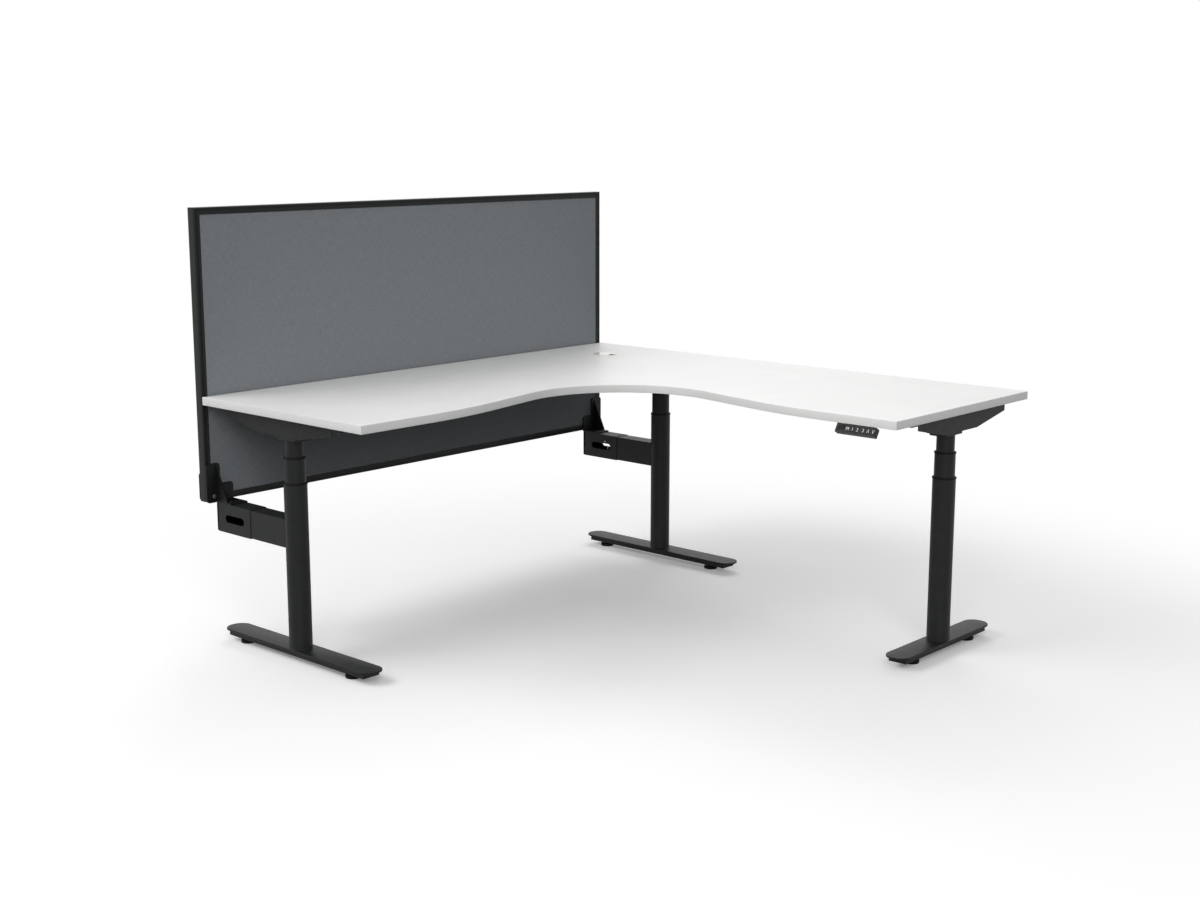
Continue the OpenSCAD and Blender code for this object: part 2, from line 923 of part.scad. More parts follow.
module beam(c) {
    inner_w = beam_w - 2 * sheet_t;
    color("#222325") at_column(c) difference() {
        rotate([90, 0, 90]) linear_extrude(beam_w, center = true) beam_side(c, 0);
        rotate([90, 0, 90]) linear_extrude(inner_w, center = true) beam_side(c, sheet_t);
        translate([0, 0, beam_low - cut]) cylinder(r = housing_neck_r + fit, h = sheet_t + 2 * cut);
        translate([-beam_w / 2 - c[7] * sheet_t, plate_low_y(c), beam_low - cut])
            cube([beam_w, -beam_flat_front - plate_low_y(c), beam_h + cut]);
    }
}

module beam_left() {
    beam(left_col);
}

module beam_corner() {
    beam(corner_col);
}

module beam_right() {
    beam(right_col);
}

function plate_low_y(c) = c[6] - beam_back - beam_l - plate_front;
function plate_l() = beam_l + plate_front;

// Flat plate, with a lip folded down round the end that reaches past the beam
module side_plate_of(c) {
    w = beam_w + 2 * plate_side;
    translate([-w / 2, plate_low_y(c), beam_top]) cube([w, plate_l(), side_plate_t]);
    translate([-w / 2, plate_low_y(c), beam_top - plate_lip_h]) difference() {
        cube([w, plate_front - fit, plate_lip_h + cut]);
        translate([sheet_t, sheet_t, -cut]) cube([w - 2 * sheet_t, plate_front, plate_lip_h + 3 * cut]);
    }
}

module side_plates() {
    color("#1d1e20") difference() {
        for (c = columns) at_column(c) side_plate_of(c);
        screw_bores();
    }
}

module screw_spots() {
    x = beam_w / 2 + plate_side / 2;
    for (c = columns) at_column(c) {
        for (s = [-1, 1]) {
            for (k = screw_rows_share) translate([s * x, plate_low_y(c) + k * plate_l(), 0]) children();
        }
    }
}

module screw_bores() {
    screw_spots() translate([0, 0, beam_top - cut])
        cylinder(r = wood_screw_r + hole_play, h = side_plate_t + wood_screw_grip + 2 * cut);
}

module worktop_screws() {
    color("#8d9094") screw_spots() {
        translate([0, 0, beam_top - wood_screw_head_h]) {
            cylinder(r = wood_screw_head_r, h = wood_screw_head_h);
            cylinder(r = wood_screw_r, h = wood_screw_head_h + side_plate_t + wood_screw_grip);
        }
    }
}

// Gear housing: flange under the beam, neck through its floor, box inside it
module gear_housing_of() {
    difference() {
        union() {
            translate([0, 0, flange_low]) linear_extrude(flange_t)
                rotate([0, 0, 90]) round_rect(flange_l, beam_w, bracket_r);
            translate([0, 0, inner_top]) cylinder(r = housing_neck_r, h = housing_low - inner_top + cut);
            translate([-housing_w / 2, -housing_l / 2, housing_low])
                cube([housing_w, housing_l, housing_top - housing_low]);
        }
        translate([0, 0, flange_low - cut])
            cylinder(r = inner_d / 2 + run, h = inner_top - flange_low + cut);
        cylinder(r = spindle_r + run, h = spindle_top + fit);
        translate([0, 0, spindle_shoulder_z - fit])
            cylinder(r = spindle_shoulder_r + fit, h = spindle_shoulder_h + 2 * fit);
    }
}

module gear_housings() {
    color("#3a3b3d") for (c = columns) at_column(c) gear_housing_of();
}

module motors() {
    color("#55585b") for (c = columns) at_column(c) {
        translate([0, housing_l / 2, housing_top - motor_r]) rotate([-90, 0, 0])
            cylinder(r = motor_r, h = motor_l);
    }
}

// A crossrail: an upturned channel under the worktop
module crossrail(x, y, l, along_x) {
    translate([x, y, beam_top - cross_h]) rotate([0, 0, along_x ? 0 : 90]) difference() {
        translate([-l / 2, -cross_w / 2, 0]) cube([l, cross_w, cross_h]);
        translate([-l / 2 - cut, -cross_w / 2 + sheet_t, sheet_t])
            cube([l + 2 * cut, cross_w - 2 * sheet_t, cross_h]);
    }
}

module crossrails() {
    left_end = left_col[0] + cross_side;
    corner_end = corner_col[0] - cross_side;
    right_end = right_col[1] + cross_side;
    meet = -leg_back - cross_w / 2;
    color("#222325") at_corner() {
        crossrail((left_end + corner_end) / 2, -leg_back, corner_end - left_end, true);
        crossrail(right_col[0], (right_end + meet) / 2, meet - right_end, false);
    }
}

// Control

module control_box() {
    low = under - box_h;
    color("#202123") at_corner() translate([-box_in - box_l, -box_back - box_w, low]) difference() {
        union() {
            translate([box_l / 2, box_w / 2, 0]) linear_extrude(box_h) round_rect(box_l, box_w, box_wall_r);
            translate([-lug_l, box_w / 4, box_h - lug_t]) cube([box_l + 2 * lug_l, box_w / 2, lug_t]);
        }
        translate([inlet_at, -cut, (box_h - inlet_h) / 2]) cube([inlet_w, inlet_deep + cut, inlet_h]);
        for (i = [0:sockets - 1]) {
            translate([sockets_at + i * socket_pitch, -cut, (box_h - socket_h) / 2])
                cube([socket_w, socket_deep + cut, socket_h]);
        }
    }
}

// The handset's own frame: x across, y up its face, z out of its face
module at_handset() {
    at_corner() translate([-wing_d, -wing_r + handset_in, under]) rotate([0, 0, -90])
        translate([-handset_w, 0, 0]) rotate([90 - handset_a, 0, 0]) children();
}

function button_x(i) = button_first + i * button_pitch + (i < button_group ? 0 : button_group_gap);

module handset_body() {
    seat = button_t - button_proud;
    color("#1c1d1e") union() {
        at_handset() difference() {
            translate([0, -handset_h, -handset_t]) cube([handset_w, handset_h, handset_t]);
            for (i = [0:buttons - 1]) {
                translate([button_x(i) - button_w / 2 - fit, -handset_h / 2 - button_h / 2 - fit,
                    -seat - button_travel - button_back])
                    cube([button_w + 2 * fit, button_h + 2 * fit, handset_t]);
            }
        }
        handset_tab();
    }
}

// The tab fills the wedge between the handset's back and the worktop
module handset_tab() {
    drop = handset_t * sin(handset_a);
    back = handset_t * cos(handset_a);
    at_corner() translate([-wing_d, -wing_r + handset_in + handset_w / 2, under]) rotate([90, 0, 0])
        linear_extrude(handset_tab_w, center = true)
            polygon([[0, 0], [back, -drop], [back + handset_tab_l, -lug_t], [back + handset_tab_l, 0]]);
}

module handset_button(i) {
    color("#161718") at_handset() {
        translate([button_x(i) - button_w / 2, -handset_h / 2 - button_h / 2, button_proud - button_t])
            cube([button_w, button_h, button_t]);
    }
}

module button_memory() {
    handset_button(0);
}

module button_one() {
    handset_button(1);
}

module button_two() {
    handset_button(2);
}

module button_three() {
    handset_button(3);
}

module button_up() {
    handset_button(4);
}

module button_down() {
    handset_button(5);
}

foot_plates();
foot_channels();
outer_tube_left();
outer_tube_corner();
outer_tube_right();
outer_collars();
foot_bolts();
inner_arms();
arm_sleeve_left();
arm_sleeve_corner();
arm_end_caps();
screen_bracket_left();
screen_bracket_corner();
clamp_plates();
screen_bolts();
sleeve_screws();
long_rails();
side_rails();
corner_keys();
screen_core();
fabric_front();
fabric_back();
levelling_foot_left_front();
levelling_foot_left_back();
levelling_foot_corner_front();
levelling_foot_corner_back();
levelling_foot_right_front();
levelling_foot_right_back();
middle_tube_left();
middle_tube_corner();
middle_tube_right();
middle_guides_left();
middle_guides_corner();
middle_guides_right();
desktop();
edge_band();
grommet_liner();
inner_tube_left();
inner_tube_corner();
inner_tube_right();
beam_left();
beam_corner();
beam_right();
side_plates();
gear_housings();
motors();
crossrails();
control_box();
handset_body();
worktop_screws();
grommet_cap();
button_memory();
button_one();
button_two();
button_three();
button_up();
button_down();
spindle_left();
spindle_corner();
spindle_right();
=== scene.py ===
"""Corner desk on telescopic columns with a fabric screen: surfaces, finishes, light and camera."""
import math

import bmesh
import bpy
import numpy as np
from mathutils import Matrix, Vector


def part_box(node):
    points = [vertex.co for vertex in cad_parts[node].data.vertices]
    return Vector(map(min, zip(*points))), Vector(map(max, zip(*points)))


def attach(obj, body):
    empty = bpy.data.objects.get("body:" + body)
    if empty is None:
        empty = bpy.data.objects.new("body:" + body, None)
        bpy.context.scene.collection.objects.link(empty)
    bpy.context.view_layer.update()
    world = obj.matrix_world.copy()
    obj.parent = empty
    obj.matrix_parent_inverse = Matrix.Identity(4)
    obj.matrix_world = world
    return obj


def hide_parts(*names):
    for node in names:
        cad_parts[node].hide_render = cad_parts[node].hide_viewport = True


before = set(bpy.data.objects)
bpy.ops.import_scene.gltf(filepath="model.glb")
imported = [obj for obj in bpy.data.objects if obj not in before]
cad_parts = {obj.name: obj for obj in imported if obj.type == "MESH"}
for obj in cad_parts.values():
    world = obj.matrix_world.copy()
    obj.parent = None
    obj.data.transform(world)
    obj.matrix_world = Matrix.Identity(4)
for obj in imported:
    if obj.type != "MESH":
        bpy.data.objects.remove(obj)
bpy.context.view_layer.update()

MM = 0.001
MM_PER_M = 1000.0

# Places taken from the frame, in metres
EDGE_LOW, EDGE_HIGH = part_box("edge_band")
CORNER = Vector((EDGE_HIGH.x, EDGE_HIGH.y, EDGE_HIGH.z))
BOARD_LOW = EDGE_LOW.z
SIDES = ("left", "corner", "right")


# Camera

CAMERA_FROM_CORNER = Vector((-4680.3, -4262.9, 795.8)) * MM
CAMERA_TURN = (79.135, 0.0, -47.657)
LENS_MM = 49.87
SENSOR_MM = 36.0
SEEN_TO_M = 200.0

camera_data = bpy.data.cameras.new("camera")
camera_data.lens = LENS_MM
camera_data.sensor_width = SENSOR_MM
camera_data.clip_end = SEEN_TO_M
camera = bpy.data.objects.new("camera", camera_data)
camera.location = CORNER + CAMERA_FROM_CORNER
camera.rotation_euler = [math.radians(turn) for turn in CAMERA_TURN]
bpy.context.scene.collection.objects.link(camera)
bpy.context.scene.camera = camera


# Materials

def linear(code):
    """An sRGB hex colour as linear light: each channel is raised by the sRGB curve."""
    channels = [int(code[i:i + 2], 16) / 255 for i in (1, 3, 5)]
    return [c / 12.92 if c <= 0.04045 else ((c + 0.055) / 1.055) ** 2.4 for c in channels] + [1.0]


def add(tree, kind, inputs=None, **settings):
    """Adds a node with its settings, and sets each named input to a value or links it to a socket."""
    node = tree.nodes.new(kind)
    for name, value in settings.items():
        setattr(node, name, value)
    for name, value in (inputs or {}).items():
        if isinstance(value, bpy.types.NodeSocket):
            tree.links.new(value, node.inputs[name])
        else:
            node.inputs[name].default_value = value
    return node


def new_finish(name, colour, roughness, metallic=0.0, **sockets):
    """A material with one Principled shader. Plain numbers stay on the shader's own sockets."""
    material = bpy.data.materials.new(name)
    material.use_nodes = True
    tree = material.node_tree
    tree.nodes.clear()
    shader = add(tree, "ShaderNodeBsdfPrincipled", {
        "Base Color": linear(colour), "Roughness": roughness, "Metallic": metallic, **sockets})
    add(tree, "ShaderNodeOutputMaterial", {"Surface": shader.outputs[0]})
    return material, tree, shader


def object_points(tree, scale=(1, 1, 1)):
    """The piece's own coordinates in metres, stretched by a Mapping node."""
    source = add(tree, "ShaderNodeTexCoord").outputs["Object"]
    return add(tree, "ShaderNodeMapping", {"Vector": source, "Scale": scale}).outputs[0]


def grain(tree, vector, spacing_mm, detail=2.0, rough=0.5):
    """Noise whose lumps are about spacing_mm apart."""
    noise = add(tree, "ShaderNodeTexNoise", {
        "Vector": vector, "Scale": MM_PER_M / spacing_mm, "Detail": detail, "Roughness": rough})
    return noise.outputs["Fac"]


def tint(tree, shader, factor, dark, light, low=0.3, high=0.7):
    """Colours the shader from dark to light as the factor goes from low to high."""
    share = add(tree, "ShaderNodeMapRange", {"Value": factor, "From Min": low, "From Max": high})
    mixed = add(tree, "ShaderNodeMix", {
        "Factor": share.outputs[0], 6: linear(dark), 7: linear(light)}, data_type="RGBA")
    tree.links.new(mixed.outputs[2], shader.inputs["Base Color"])


def vary_roughness(tree, shader, factor, low, high):
    """Roughness that follows a pattern between two values."""
    spread = add(tree, "ShaderNodeMapRange", {"Value": factor, "To Min": low, "To Max": high})
    tree.links.new(spread.outputs[0], shader.inputs["Roughness"])


def emboss(tree, shader, height, depth_mm, strength):
    """Bump of the given depth from a height pattern."""
    bump = add(tree, "ShaderNodeBump", {
        "Height": height, "Distance": depth_mm * MM, "Strength": strength})
    tree.links.new(bump.outputs[0], shader.inputs["Normal"])


def powder_coat(name, dark, light, rough=(0.42, 0.56)):
    """Polyester powder coat, baked on steel. The melt leaves an orange peel of about 2 mm, drawn
    at 4 mm so that it breaks up the highlight at this distance, and a slight mottle in the black."""
    material, tree, shader = new_finish(name, light, rough[0], **{"Specular IOR Level": 0.2})
    points = object_points(tree)
    peel_mm, mottle_mm, sheen_mm, peel_depth_mm = 4.0, 45.0, 18.0, 0.12
    peel = grain(tree, points, peel_mm, detail=3.0)
    tint(tree, shader, grain(tree, points, mottle_mm, detail=4.0), dark, light)
    vary_roughness(tree, shader, grain(tree, points, sheen_mm, detail=3.0), *rough)
    emboss(tree, shader, peel, peel_depth_mm, strength=0.35)
    return material


def drawn_aluminium(name, dark, light, along):
    """Black anodised extrusion, dyed so deep that the metal's own shine is nearly gone. The die
    leaves fine lines along the bar, so the pattern is stretched a hundredfold that way."""
    material, tree, shader = new_finish(name, light, 0.4, **{"Specular IOR Level": 0.2})
    line_mm, line_depth_mm, drawn_out = 1.6, 0.03, 0.01
    stretch = [1.0, 1.0, 1.0]
    stretch[along] = drawn_out
    lines = grain(tree, object_points(tree, stretch), line_mm)
    tint(tree, shader, lines, dark, light)
    vary_roughness(tree, shader, lines, low=0.34, high=0.5)
    emboss(tree, shader, lines, line_depth_mm, strength=0.4)
    return material


def moulded(name, dark, light, rough, spacing_mm=2.5, depth_mm=0.05, shine=0.5):
    """Injection-moulded ABS or nylon with a spark-eroded texture, drawn a little coarse to show."""
    material, tree, shader = new_finish(name, light, rough, **{"Specular IOR Level": shine})
    points = object_points(tree)
    flow_mm, sheen_mm, spread = 30.0, 9.0, 0.06
    tint(tree, shader, grain(tree, points, flow_mm, detail=3.0), dark, light)
    vary_roughness(tree, shader, grain(tree, points, sheen_mm), rough - spread, rough + spread)
    emboss(tree, shader, grain(tree, points, spacing_mm), depth_mm, strength=0.4)
    return material


def melamine_board():
    """White melamine on particleboard, pressed against a pearl-textured plate: small soft pits about
    1.5 mm apart, drawn at 3 mm, that spread the reflection without hiding it."""
    material, tree, shader = new_finish("melamine_board", "#f2f2f1", 0.4)
    points = object_points(tree)
    pits_per_m, pit_depth_mm, cloud_mm, sheen_mm = 330.0, 0.06, 120.0, 60.0
    pearl = add(tree, "ShaderNodeTexVoronoi", {
        "Vector": points, "Scale": pits_per_m, "Smoothness": 1.0}, feature="SMOOTH_F1")
    tint(tree, shader, grain(tree, points, cloud_mm, detail=4.0), "#f0f0ef", "#f4f4f3")
    vary_roughness(tree, shader, grain(tree, points, sheen_mm, detail=3.0), low=0.36, high=0.46)
    emboss(tree, shader, pearl.outputs["Distance"], pit_depth_mm, strength=0.25)
    return material


def woven_cloth(name, dark, light):
    """Plain-woven polyester screen cloth. Warp and weft threads lie 0.8 mm apart, drawn at 2.4 mm so
    that they show; flecks of a lighter yarn give the melange, and fine fibres give a soft sheen."""
    material, tree, shader = new_finish(name, light, 0.88, **{
        "Sheen Weight": 0.25, "Sheen Roughness": 0.6})
    uv = add(tree, "ShaderNodeTexCoord").outputs["UV"]
    # A wave repeats every 2 pi / (20 x its scale) metres
    weave_scale, weave_depth_mm, fleck_mm, fleck_length = 130.0, 0.5, 22.0, 9
    threads = []
    for direction in ("X", "Y"):
        wave = add(tree, "ShaderNodeTexWave", {
            "Vector": uv, "Scale": weave_scale, "Distortion": 0.6, "Detail": 2.0, "Detail Scale": 1.5},
            bands_direction=direction, wave_profile="SIN")
        threads.append(wave.outputs["Fac"])
    weave = add(tree, "ShaderNodeMath", {0: threads[0], 1: threads[1]}, operation="MULTIPLY").outputs[0]
    flecks = []
    for stretch in ((1, fleck_length, 1), (fleck_length, 1, 1)):
        run = add(tree, "ShaderNodeMapping", {"Vector": uv, "Scale": stretch}).outputs[0]
        flecks.append(grain(tree, run, fleck_mm, detail=3.0))
    melange = add(tree, "ShaderNodeMath", {0: flecks[0], 1: flecks[1]}, operation="ADD").outputs[0]
    shade = add(tree, "ShaderNodeMath", {0: melange, 1: weave}, operation="ADD").outputs[0]
    tint(tree, shader, shade, dark, light, low=0.6, high=1.9)
    emboss(tree, shader, weave, weave_depth_mm, strength=0.5)
    return material


def zinc_plate(name, dark, light, rough):
    """Zinc-plated steel: a cool metal with a faint crystalline mottle. Passivated black-grey zinc
    is darker and duller than the bright kind."""
    material, tree, shader = new_finish(name, light, rough[0], metallic=1.0)
    points = object_points(tree)
    crystal_mm, sheen_mm = 3.0, 5.0
    tint(tree, shader, grain(tree, points, crystal_mm, detail=3.0), dark, light)
    vary_roughness(tree, shader, grain(tree, points, sheen_mm), *rough)
    return material


def felt_board():
    """Pressed polyester felt: pale tangled fibres, seen only where the screen is taken apart."""
    material, tree, shader = new_finish("felt_board", "#b9b4aa", 0.95)
    fibre_mm, fibre_depth_mm = 3.0, 0.6
    fibres = grain(tree, object_points(tree), fibre_mm, detail=6.0, rough=0.7)
    tint(tree, shader, fibres, "#a8a399", "#c8c3b9")
    emboss(tree, shader, fibres, fibre_depth_mm, strength=0.6)
    return material


def display_glass():
    """Smoked acrylic window over a display that is off: near black, and smooth without glare."""
    material, tree, shader = new_finish("display_glass", "#0e0f10", 0.12, **{
        "Specular IOR Level": 0.08})
    smear_mm = 14.0
    vary_roughness(tree, shader, grain(tree, object_points(tree), smear_mm), low=0.08, high=0.16)
    return material


def key_print():
    """Pad-printed white ink on the keys, matt, with the small unevenness of a printed film."""
    material, tree, shader = new_finish("key_print", "#eceef0", 0.6)
    film_mm = 1.2
    tint(tree, shader, grain(tree, object_points(tree), film_mm), "#e4e7e9", "#f6f7f8")
    return material


BLACK_COAT = powder_coat("black_powder_coat", "#191a1b", "#202122")
FOOT_COAT = powder_coat("foot_powder_coat", "#151617", "#1b1c1d", rough=(0.4, 0.52))
LONG_RAIL = drawn_aluminium("anodised_rail_long", "#131516", "#191b1c", 0)
TALL_RAIL = drawn_aluminium("anodised_rail_tall", "#131516", "#191b1c", 2)
# Painted shade: a near-black copy of the rail finish for the face-groove floors. The groove is
# modelled, but its dark band is painted.
GROOVE_PAINTED_SHADE = drawn_aluminium("groove_painted_shade", "#030404", "#060707", 1)
BRACKET_COAT = powder_coat("bracket_powder_coat", "#0d0e0f", "#131415")
BLACK_NYLON = moulded("black_nylon", "#101112", "#151617", 0.55, shine=0.12)
CAP_NYLON = moulded("end_cap_nylon", "#050606", "#090a0a", 0.6, shine=0.05)
BLACK_ABS = moulded("black_abs", "#151617", "#1c1d1f", 0.42, 1.6, 0.04, shine=0.2)
WHITE_ABS = moulded("white_abs", "#f6f4ef", "#fcfaf6", 0.14, 1.6, 0.015, shine=0.9)
EDGING = moulded("abs_edging", "#f6f6f5", "#fafaf9", 0.38, 2.0, 0.03)
MELAMINE = melamine_board()
SCREEN_CLOTH = woven_cloth("screen_cloth", "#686d71", "#91969a")
ZINC = zinc_plate("bright_zinc", "#9c9fa3", "#c4c7ca", (0.28, 0.44))
GREY_ZINC = zinc_plate("grey_zinc", "#5d5f62", "#6b6e71", (0.5, 0.62))
FELT = felt_board()
GLASS = display_glass()
INK = key_print()


# Mesh building

MERGE_NEW, MERGE_CAD = 1e-6, 2e-6
NO_AREA = 1e-7
FLAT_WITHIN = 0.4
FOLD_FROM = 28.0
ARRIS_STEPS, CORNER_STEPS = 4, 8
ROUND_SEGMENTS = 96


def grid_faces(rows, cols, wrap_rows=False, wrap_cols=False):
    """The four-sided faces that join a grid of points, numbered row by row. Wrapping closes it."""
    row, col = np.meshgrid(np.arange(rows if wrap_rows else rows - 1),
                           np.arange(cols if wrap_cols else cols - 1), indexing="ij")
    next_row, next_col = (row + 1) % rows, (col + 1) % cols
    corners = (row * cols + col, row * cols + next_col,
               next_row * cols + next_col, next_row * cols + col)
    return np.stack(corners, axis=-1).reshape(-1, 4).tolist()


def joined(*shapes):
    """Several shapes, each (points, faces), as one."""
    points, faces, start = [], [], 0
    for these, theirs in shapes:
        points.append(these)
        faces += [[corner + start for corner in face] for face in theirs]
        start += len(these)
    return np.concatenate(points), faces


def placed(shape, matrix):
    """The shape with its points carried by a 4 x 4 matrix."""
    points, faces = shape
    turn = np.array(matrix)
    return points @ turn[:3, :3].T + turn[:3, 3], faces


def piece(name, shape, body, material, smooth=35.0, replaces=()):
    """A finished piece from points and faces. Doubles are merged, which closes poles and seams, and
    the faces are turned outwards. Edges sharper than the smooth angle stay sharp."""
    points, faces = shape
    mesh = bpy.data.meshes.new(name)
    mesh.from_pydata(points.tolist(), [], faces)
    work = bmesh.new()
    work.from_mesh(mesh)
    bmesh.ops.remove_doubles(work, verts=work.verts, dist=MERGE_NEW)
    bmesh.ops.dissolve_degenerate(work, edges=work.edges, dist=NO_AREA)
    bmesh.ops.recalc_face_normals(work, faces=work.faces)
    work.to_mesh(mesh)
    work.free()
    return dressed(bpy.data.objects.new(name, mesh), body, material, smooth, replaces)


def dressed(made, body, material, smooth, replaces):
    """Links a piece, smooths it up to an angle, and gives it its material and body."""
    bpy.context.scene.collection.objects.link(made)
    mesh = made.data
    mesh.materials.clear()
    mesh.materials.append(material)
    mesh.shade_smooth()
    mesh.set_sharp_from_angle(angle=math.radians(smooth))
    if replaces:
        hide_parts(*replaces)
    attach(made, body)
    return made


def softened(node, width_mm, body, material, name=None, segments=2, whole=True):
    """A copy of a CAD node with its doubles merged and its flat faces made whole, and every edge
    sharper than a fold rounded to width_mm, as a folded or moulded edge is. A face with a row of
    pockets in it isn't made whole, so that no triangle closes a pocket."""
    made = bpy.data.objects.new(name or node + "_finished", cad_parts[node].data.copy())
    work = bmesh.new()
    work.from_mesh(made.data)
    bmesh.ops.remove_doubles(work, verts=work.verts, dist=MERGE_CAD)
    if whole:
        bmesh.ops.dissolve_limit(work, angle_limit=math.radians(FLAT_WITHIN), verts=work.verts,
                                 edges=work.edges)
    work.to_mesh(made.data)
    work.free()
    bevel = made.modifiers.new("rounded_edges", "BEVEL")
    bevel.width = width_mm * MM
    bevel.segments = segments
    bevel.limit_method = "ANGLE"
    bevel.angle_limit = math.radians(FOLD_FROM)
    bevel.harden_normals = True
    bevel.use_clamp_overlap = True
    return dressed(made, body, material, FOLD_FROM, (node,))


def lathe(profile, centre, segments=ROUND_SEGMENTS, six_sided=()):
    """Rings about an upright axis: each profile row is a radius and a height, and the last row joins
    the first. A row named in six_sided is a hexagon: its radius is divided by the cosine of the
    angle from the nearest flat."""
    rows = np.array(profile, float)
    turn = np.linspace(0, 2 * math.pi, segments, endpoint=False)
    off_flat = (turn + math.pi / 6) % (math.pi / 3) - math.pi / 6
    radius = np.repeat(rows[:, :1], segments, axis=1)
    for row in six_sided:
        radius[row] /= np.cos(off_flat)
    points = np.stack([centre[0] + radius * np.cos(turn), centre[1] + radius * np.sin(turn),
                       np.repeat(rows[:, 1:], segments, axis=1)], axis=-1)
    return points.reshape(-1, 3), grid_faces(len(rows), segments, wrap_rows=True, wrap_cols=True)


def solid_lathe(profile, centre, segments=ROUND_SEGMENTS, six_sided=()):
    """A lathe whose profile starts and ends on the axis, so it isn't closed back to its first row."""
    points, _ = lathe(profile, centre, segments, six_sided)
    return points, grid_faces(len(profile), segments, wrap_cols=True)


def arc(x, y, radius, start, end, steps):
    """Points on a circle about (x, y), from one angle to another, in degrees."""
    turn = np.radians(np.linspace(start, end, steps + 1))
    return np.stack([x + radius * np.cos(turn), y + radius * np.sin(turn)], axis=-1)


def rounded_outline(length, width, radius, steps):
    """A rectangle about the origin with four round corners, counter-clockwise."""
    x, y = length / 2 - radius, width / 2 - radius
    return np.concatenate([arc(x, y, radius, 0, 90, steps), arc(-x, y, radius, 90, 180, steps),
                           arc(-x, -y, radius, 180, 270, steps), arc(x, -y, radius, 270, 360, steps)])


def drawn_in(outline, by):
    """A closed counter-clockwise outline moved inwards: each corner goes along the sum of its two
    edge normals over one plus their dot product, so both edges move by the same distance."""
    before = outline - np.roll(outline, 1, axis=0)
    after = np.roll(outline, -1, axis=0) - outline
    normals = []
    for edge in (before, after):
        edge = edge / np.linalg.norm(edge, axis=1, keepdims=True)
        normals.append(np.stack([-edge[:, 1], edge[:, 0]], axis=-1))
    meeting = (normals[0] + normals[1]) / (1 + (normals[0] * normals[1]).sum(1, keepdims=True))
    return outline + by * meeting


def rounded_side(low, high, radius):
    """The (inset, height) rows up a plate's side: a quarter circle at each arris."""
    bottom = arc(radius, low + radius, radius, 270, 180, ARRIS_STEPS)
    top = arc(radius, high - radius, radius, 180, 90, ARRIS_STEPS)
    return np.concatenate([bottom, top])


def carried(outline, rows):
    """A ring of the outline for each (inset, height) row."""
    rings = [np.column_stack([drawn_in(outline, inset), np.full(len(outline), height)])
             for inset, height in rows]
    return np.concatenate(rings)


def plate(outline, low, high, radius):
    """A solid plate of that outline, with both arrises rounded and a flat face above and below."""
    rows = rounded_side(low, high, radius)
    count = len(outline)
    faces = grid_faces(len(rows), count, wrap_cols=True)
    faces.append(list(range(count))[::-1])
    faces.append([(len(rows) - 1) * count + i for i in range(count)])
    return carried(outline, rows), faces


def axis_of(node):
    """The plan centre of a round CAD node."""
    low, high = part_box(node)
    return (low.x + high.x) / 2, (low.y + high.y) / 2


# Worktop: the board keeps its CAD solid, and the edging is a strip with soft arrises

WING_LENGTH = CORNER.x - EDGE_LOW.x
WING_DEPTH = 750 * MM
WAIST_DEPTH = 671 * MM
BEND_R = 320 * MM
FLARE = 11.8
BLEND_R = 1340 * MM
BLEND_STEPS, BEND_STEPS = 16, 60
STRIP_T = 2 * MM
ARRIS_R = 1.0 * MM


def wing_edge():
    """The left wing's outline from its end to the bend, about the worktop's back corner: straight
    across the end and along the front, an arc that blends into the flare, then the flare's end."""
    flare = math.radians(FLARE)
    bend = WAIST_DEPTH + BEND_R
    touch = np.array([-bend - BEND_R * math.sin(flare), -bend + BEND_R * math.cos(flare)])
    join_y = BLEND_R - WING_DEPTH - BLEND_R * math.cos(flare)
    join_x = touch[0] - (touch[1] - join_y) / math.tan(flare)
    blend = arc(join_x - BLEND_R * math.sin(flare), BLEND_R - WING_DEPTH, BLEND_R,
                270, 270 + FLARE, BLEND_STEPS)
    ends = np.array([[-WING_LENGTH, 0], [-WING_LENGTH, -WING_DEPTH]])
    return np.concatenate([ends, blend]), bend


def worktop_outline():
    """The whole outline in plan: the corner, the left wing, the round bend, and the left wing
    mirrored about the diagonal as the right one."""
    left, bend = wing_edge()
    inner = arc(-bend, -bend, BEND_R, 90 + FLARE, -FLARE, BEND_STEPS)
    outline = np.concatenate([[[0, 0]], left, inner, left[::-1, ::-1]])
    return outline + np.array([CORNER.x, CORNER.y])


strip_rows = np.concatenate([[[STRIP_T, BOARD_LOW]], rounded_side(BOARD_LOW, CORNER.z, ARRIS_R),
                             [[STRIP_T, CORNER.z]]])
strip = worktop_outline()
piece("worktop_edging", (carried(strip, strip_rows),
                         grid_faces(len(strip_rows), len(strip), wrap_rows=True, wrap_cols=True)),
      "top", EDGING, replaces=("edge_band",))


# Columns: three tubes each, with glide collars between them

TUBE_WALL = 2 * MM
TUBE_SOFT = 0.4 * MM
COLLAR_H = 4 * MM
COLLAR_SOFT = 0.8 * MM
COLLAR_DEPTH = 40 * MM
COLLAR_LIP = 1.6 * MM
PLAY = 0.1 * MM
SLEEVE_GAP = 0.2 * MM
BASE_DISC_T = 8 * MM
WELD_R = 2.2 * MM
GUIDE_RING_H = 10 * MM
GUIDE_SEGMENTS = 64
GUIDE_POST_R, GUIDE_POST_H = 14 * MM, 375 * MM
GUIDE_HOLE_R, GUIDE_SCREW_R, GUIDE_NUT_H = 8 * MM, 6.1 * MM, 25 * MM


def radius_of(node):
    """Half the width of a round CAD node."""
    low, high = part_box(node)
    return (high.x - low.x) / 2


OUTER_R, MIDDLE_R, INNER_R = [radius_of(kind + "_tube_left") for kind in ("outer", "middle", "inner")]


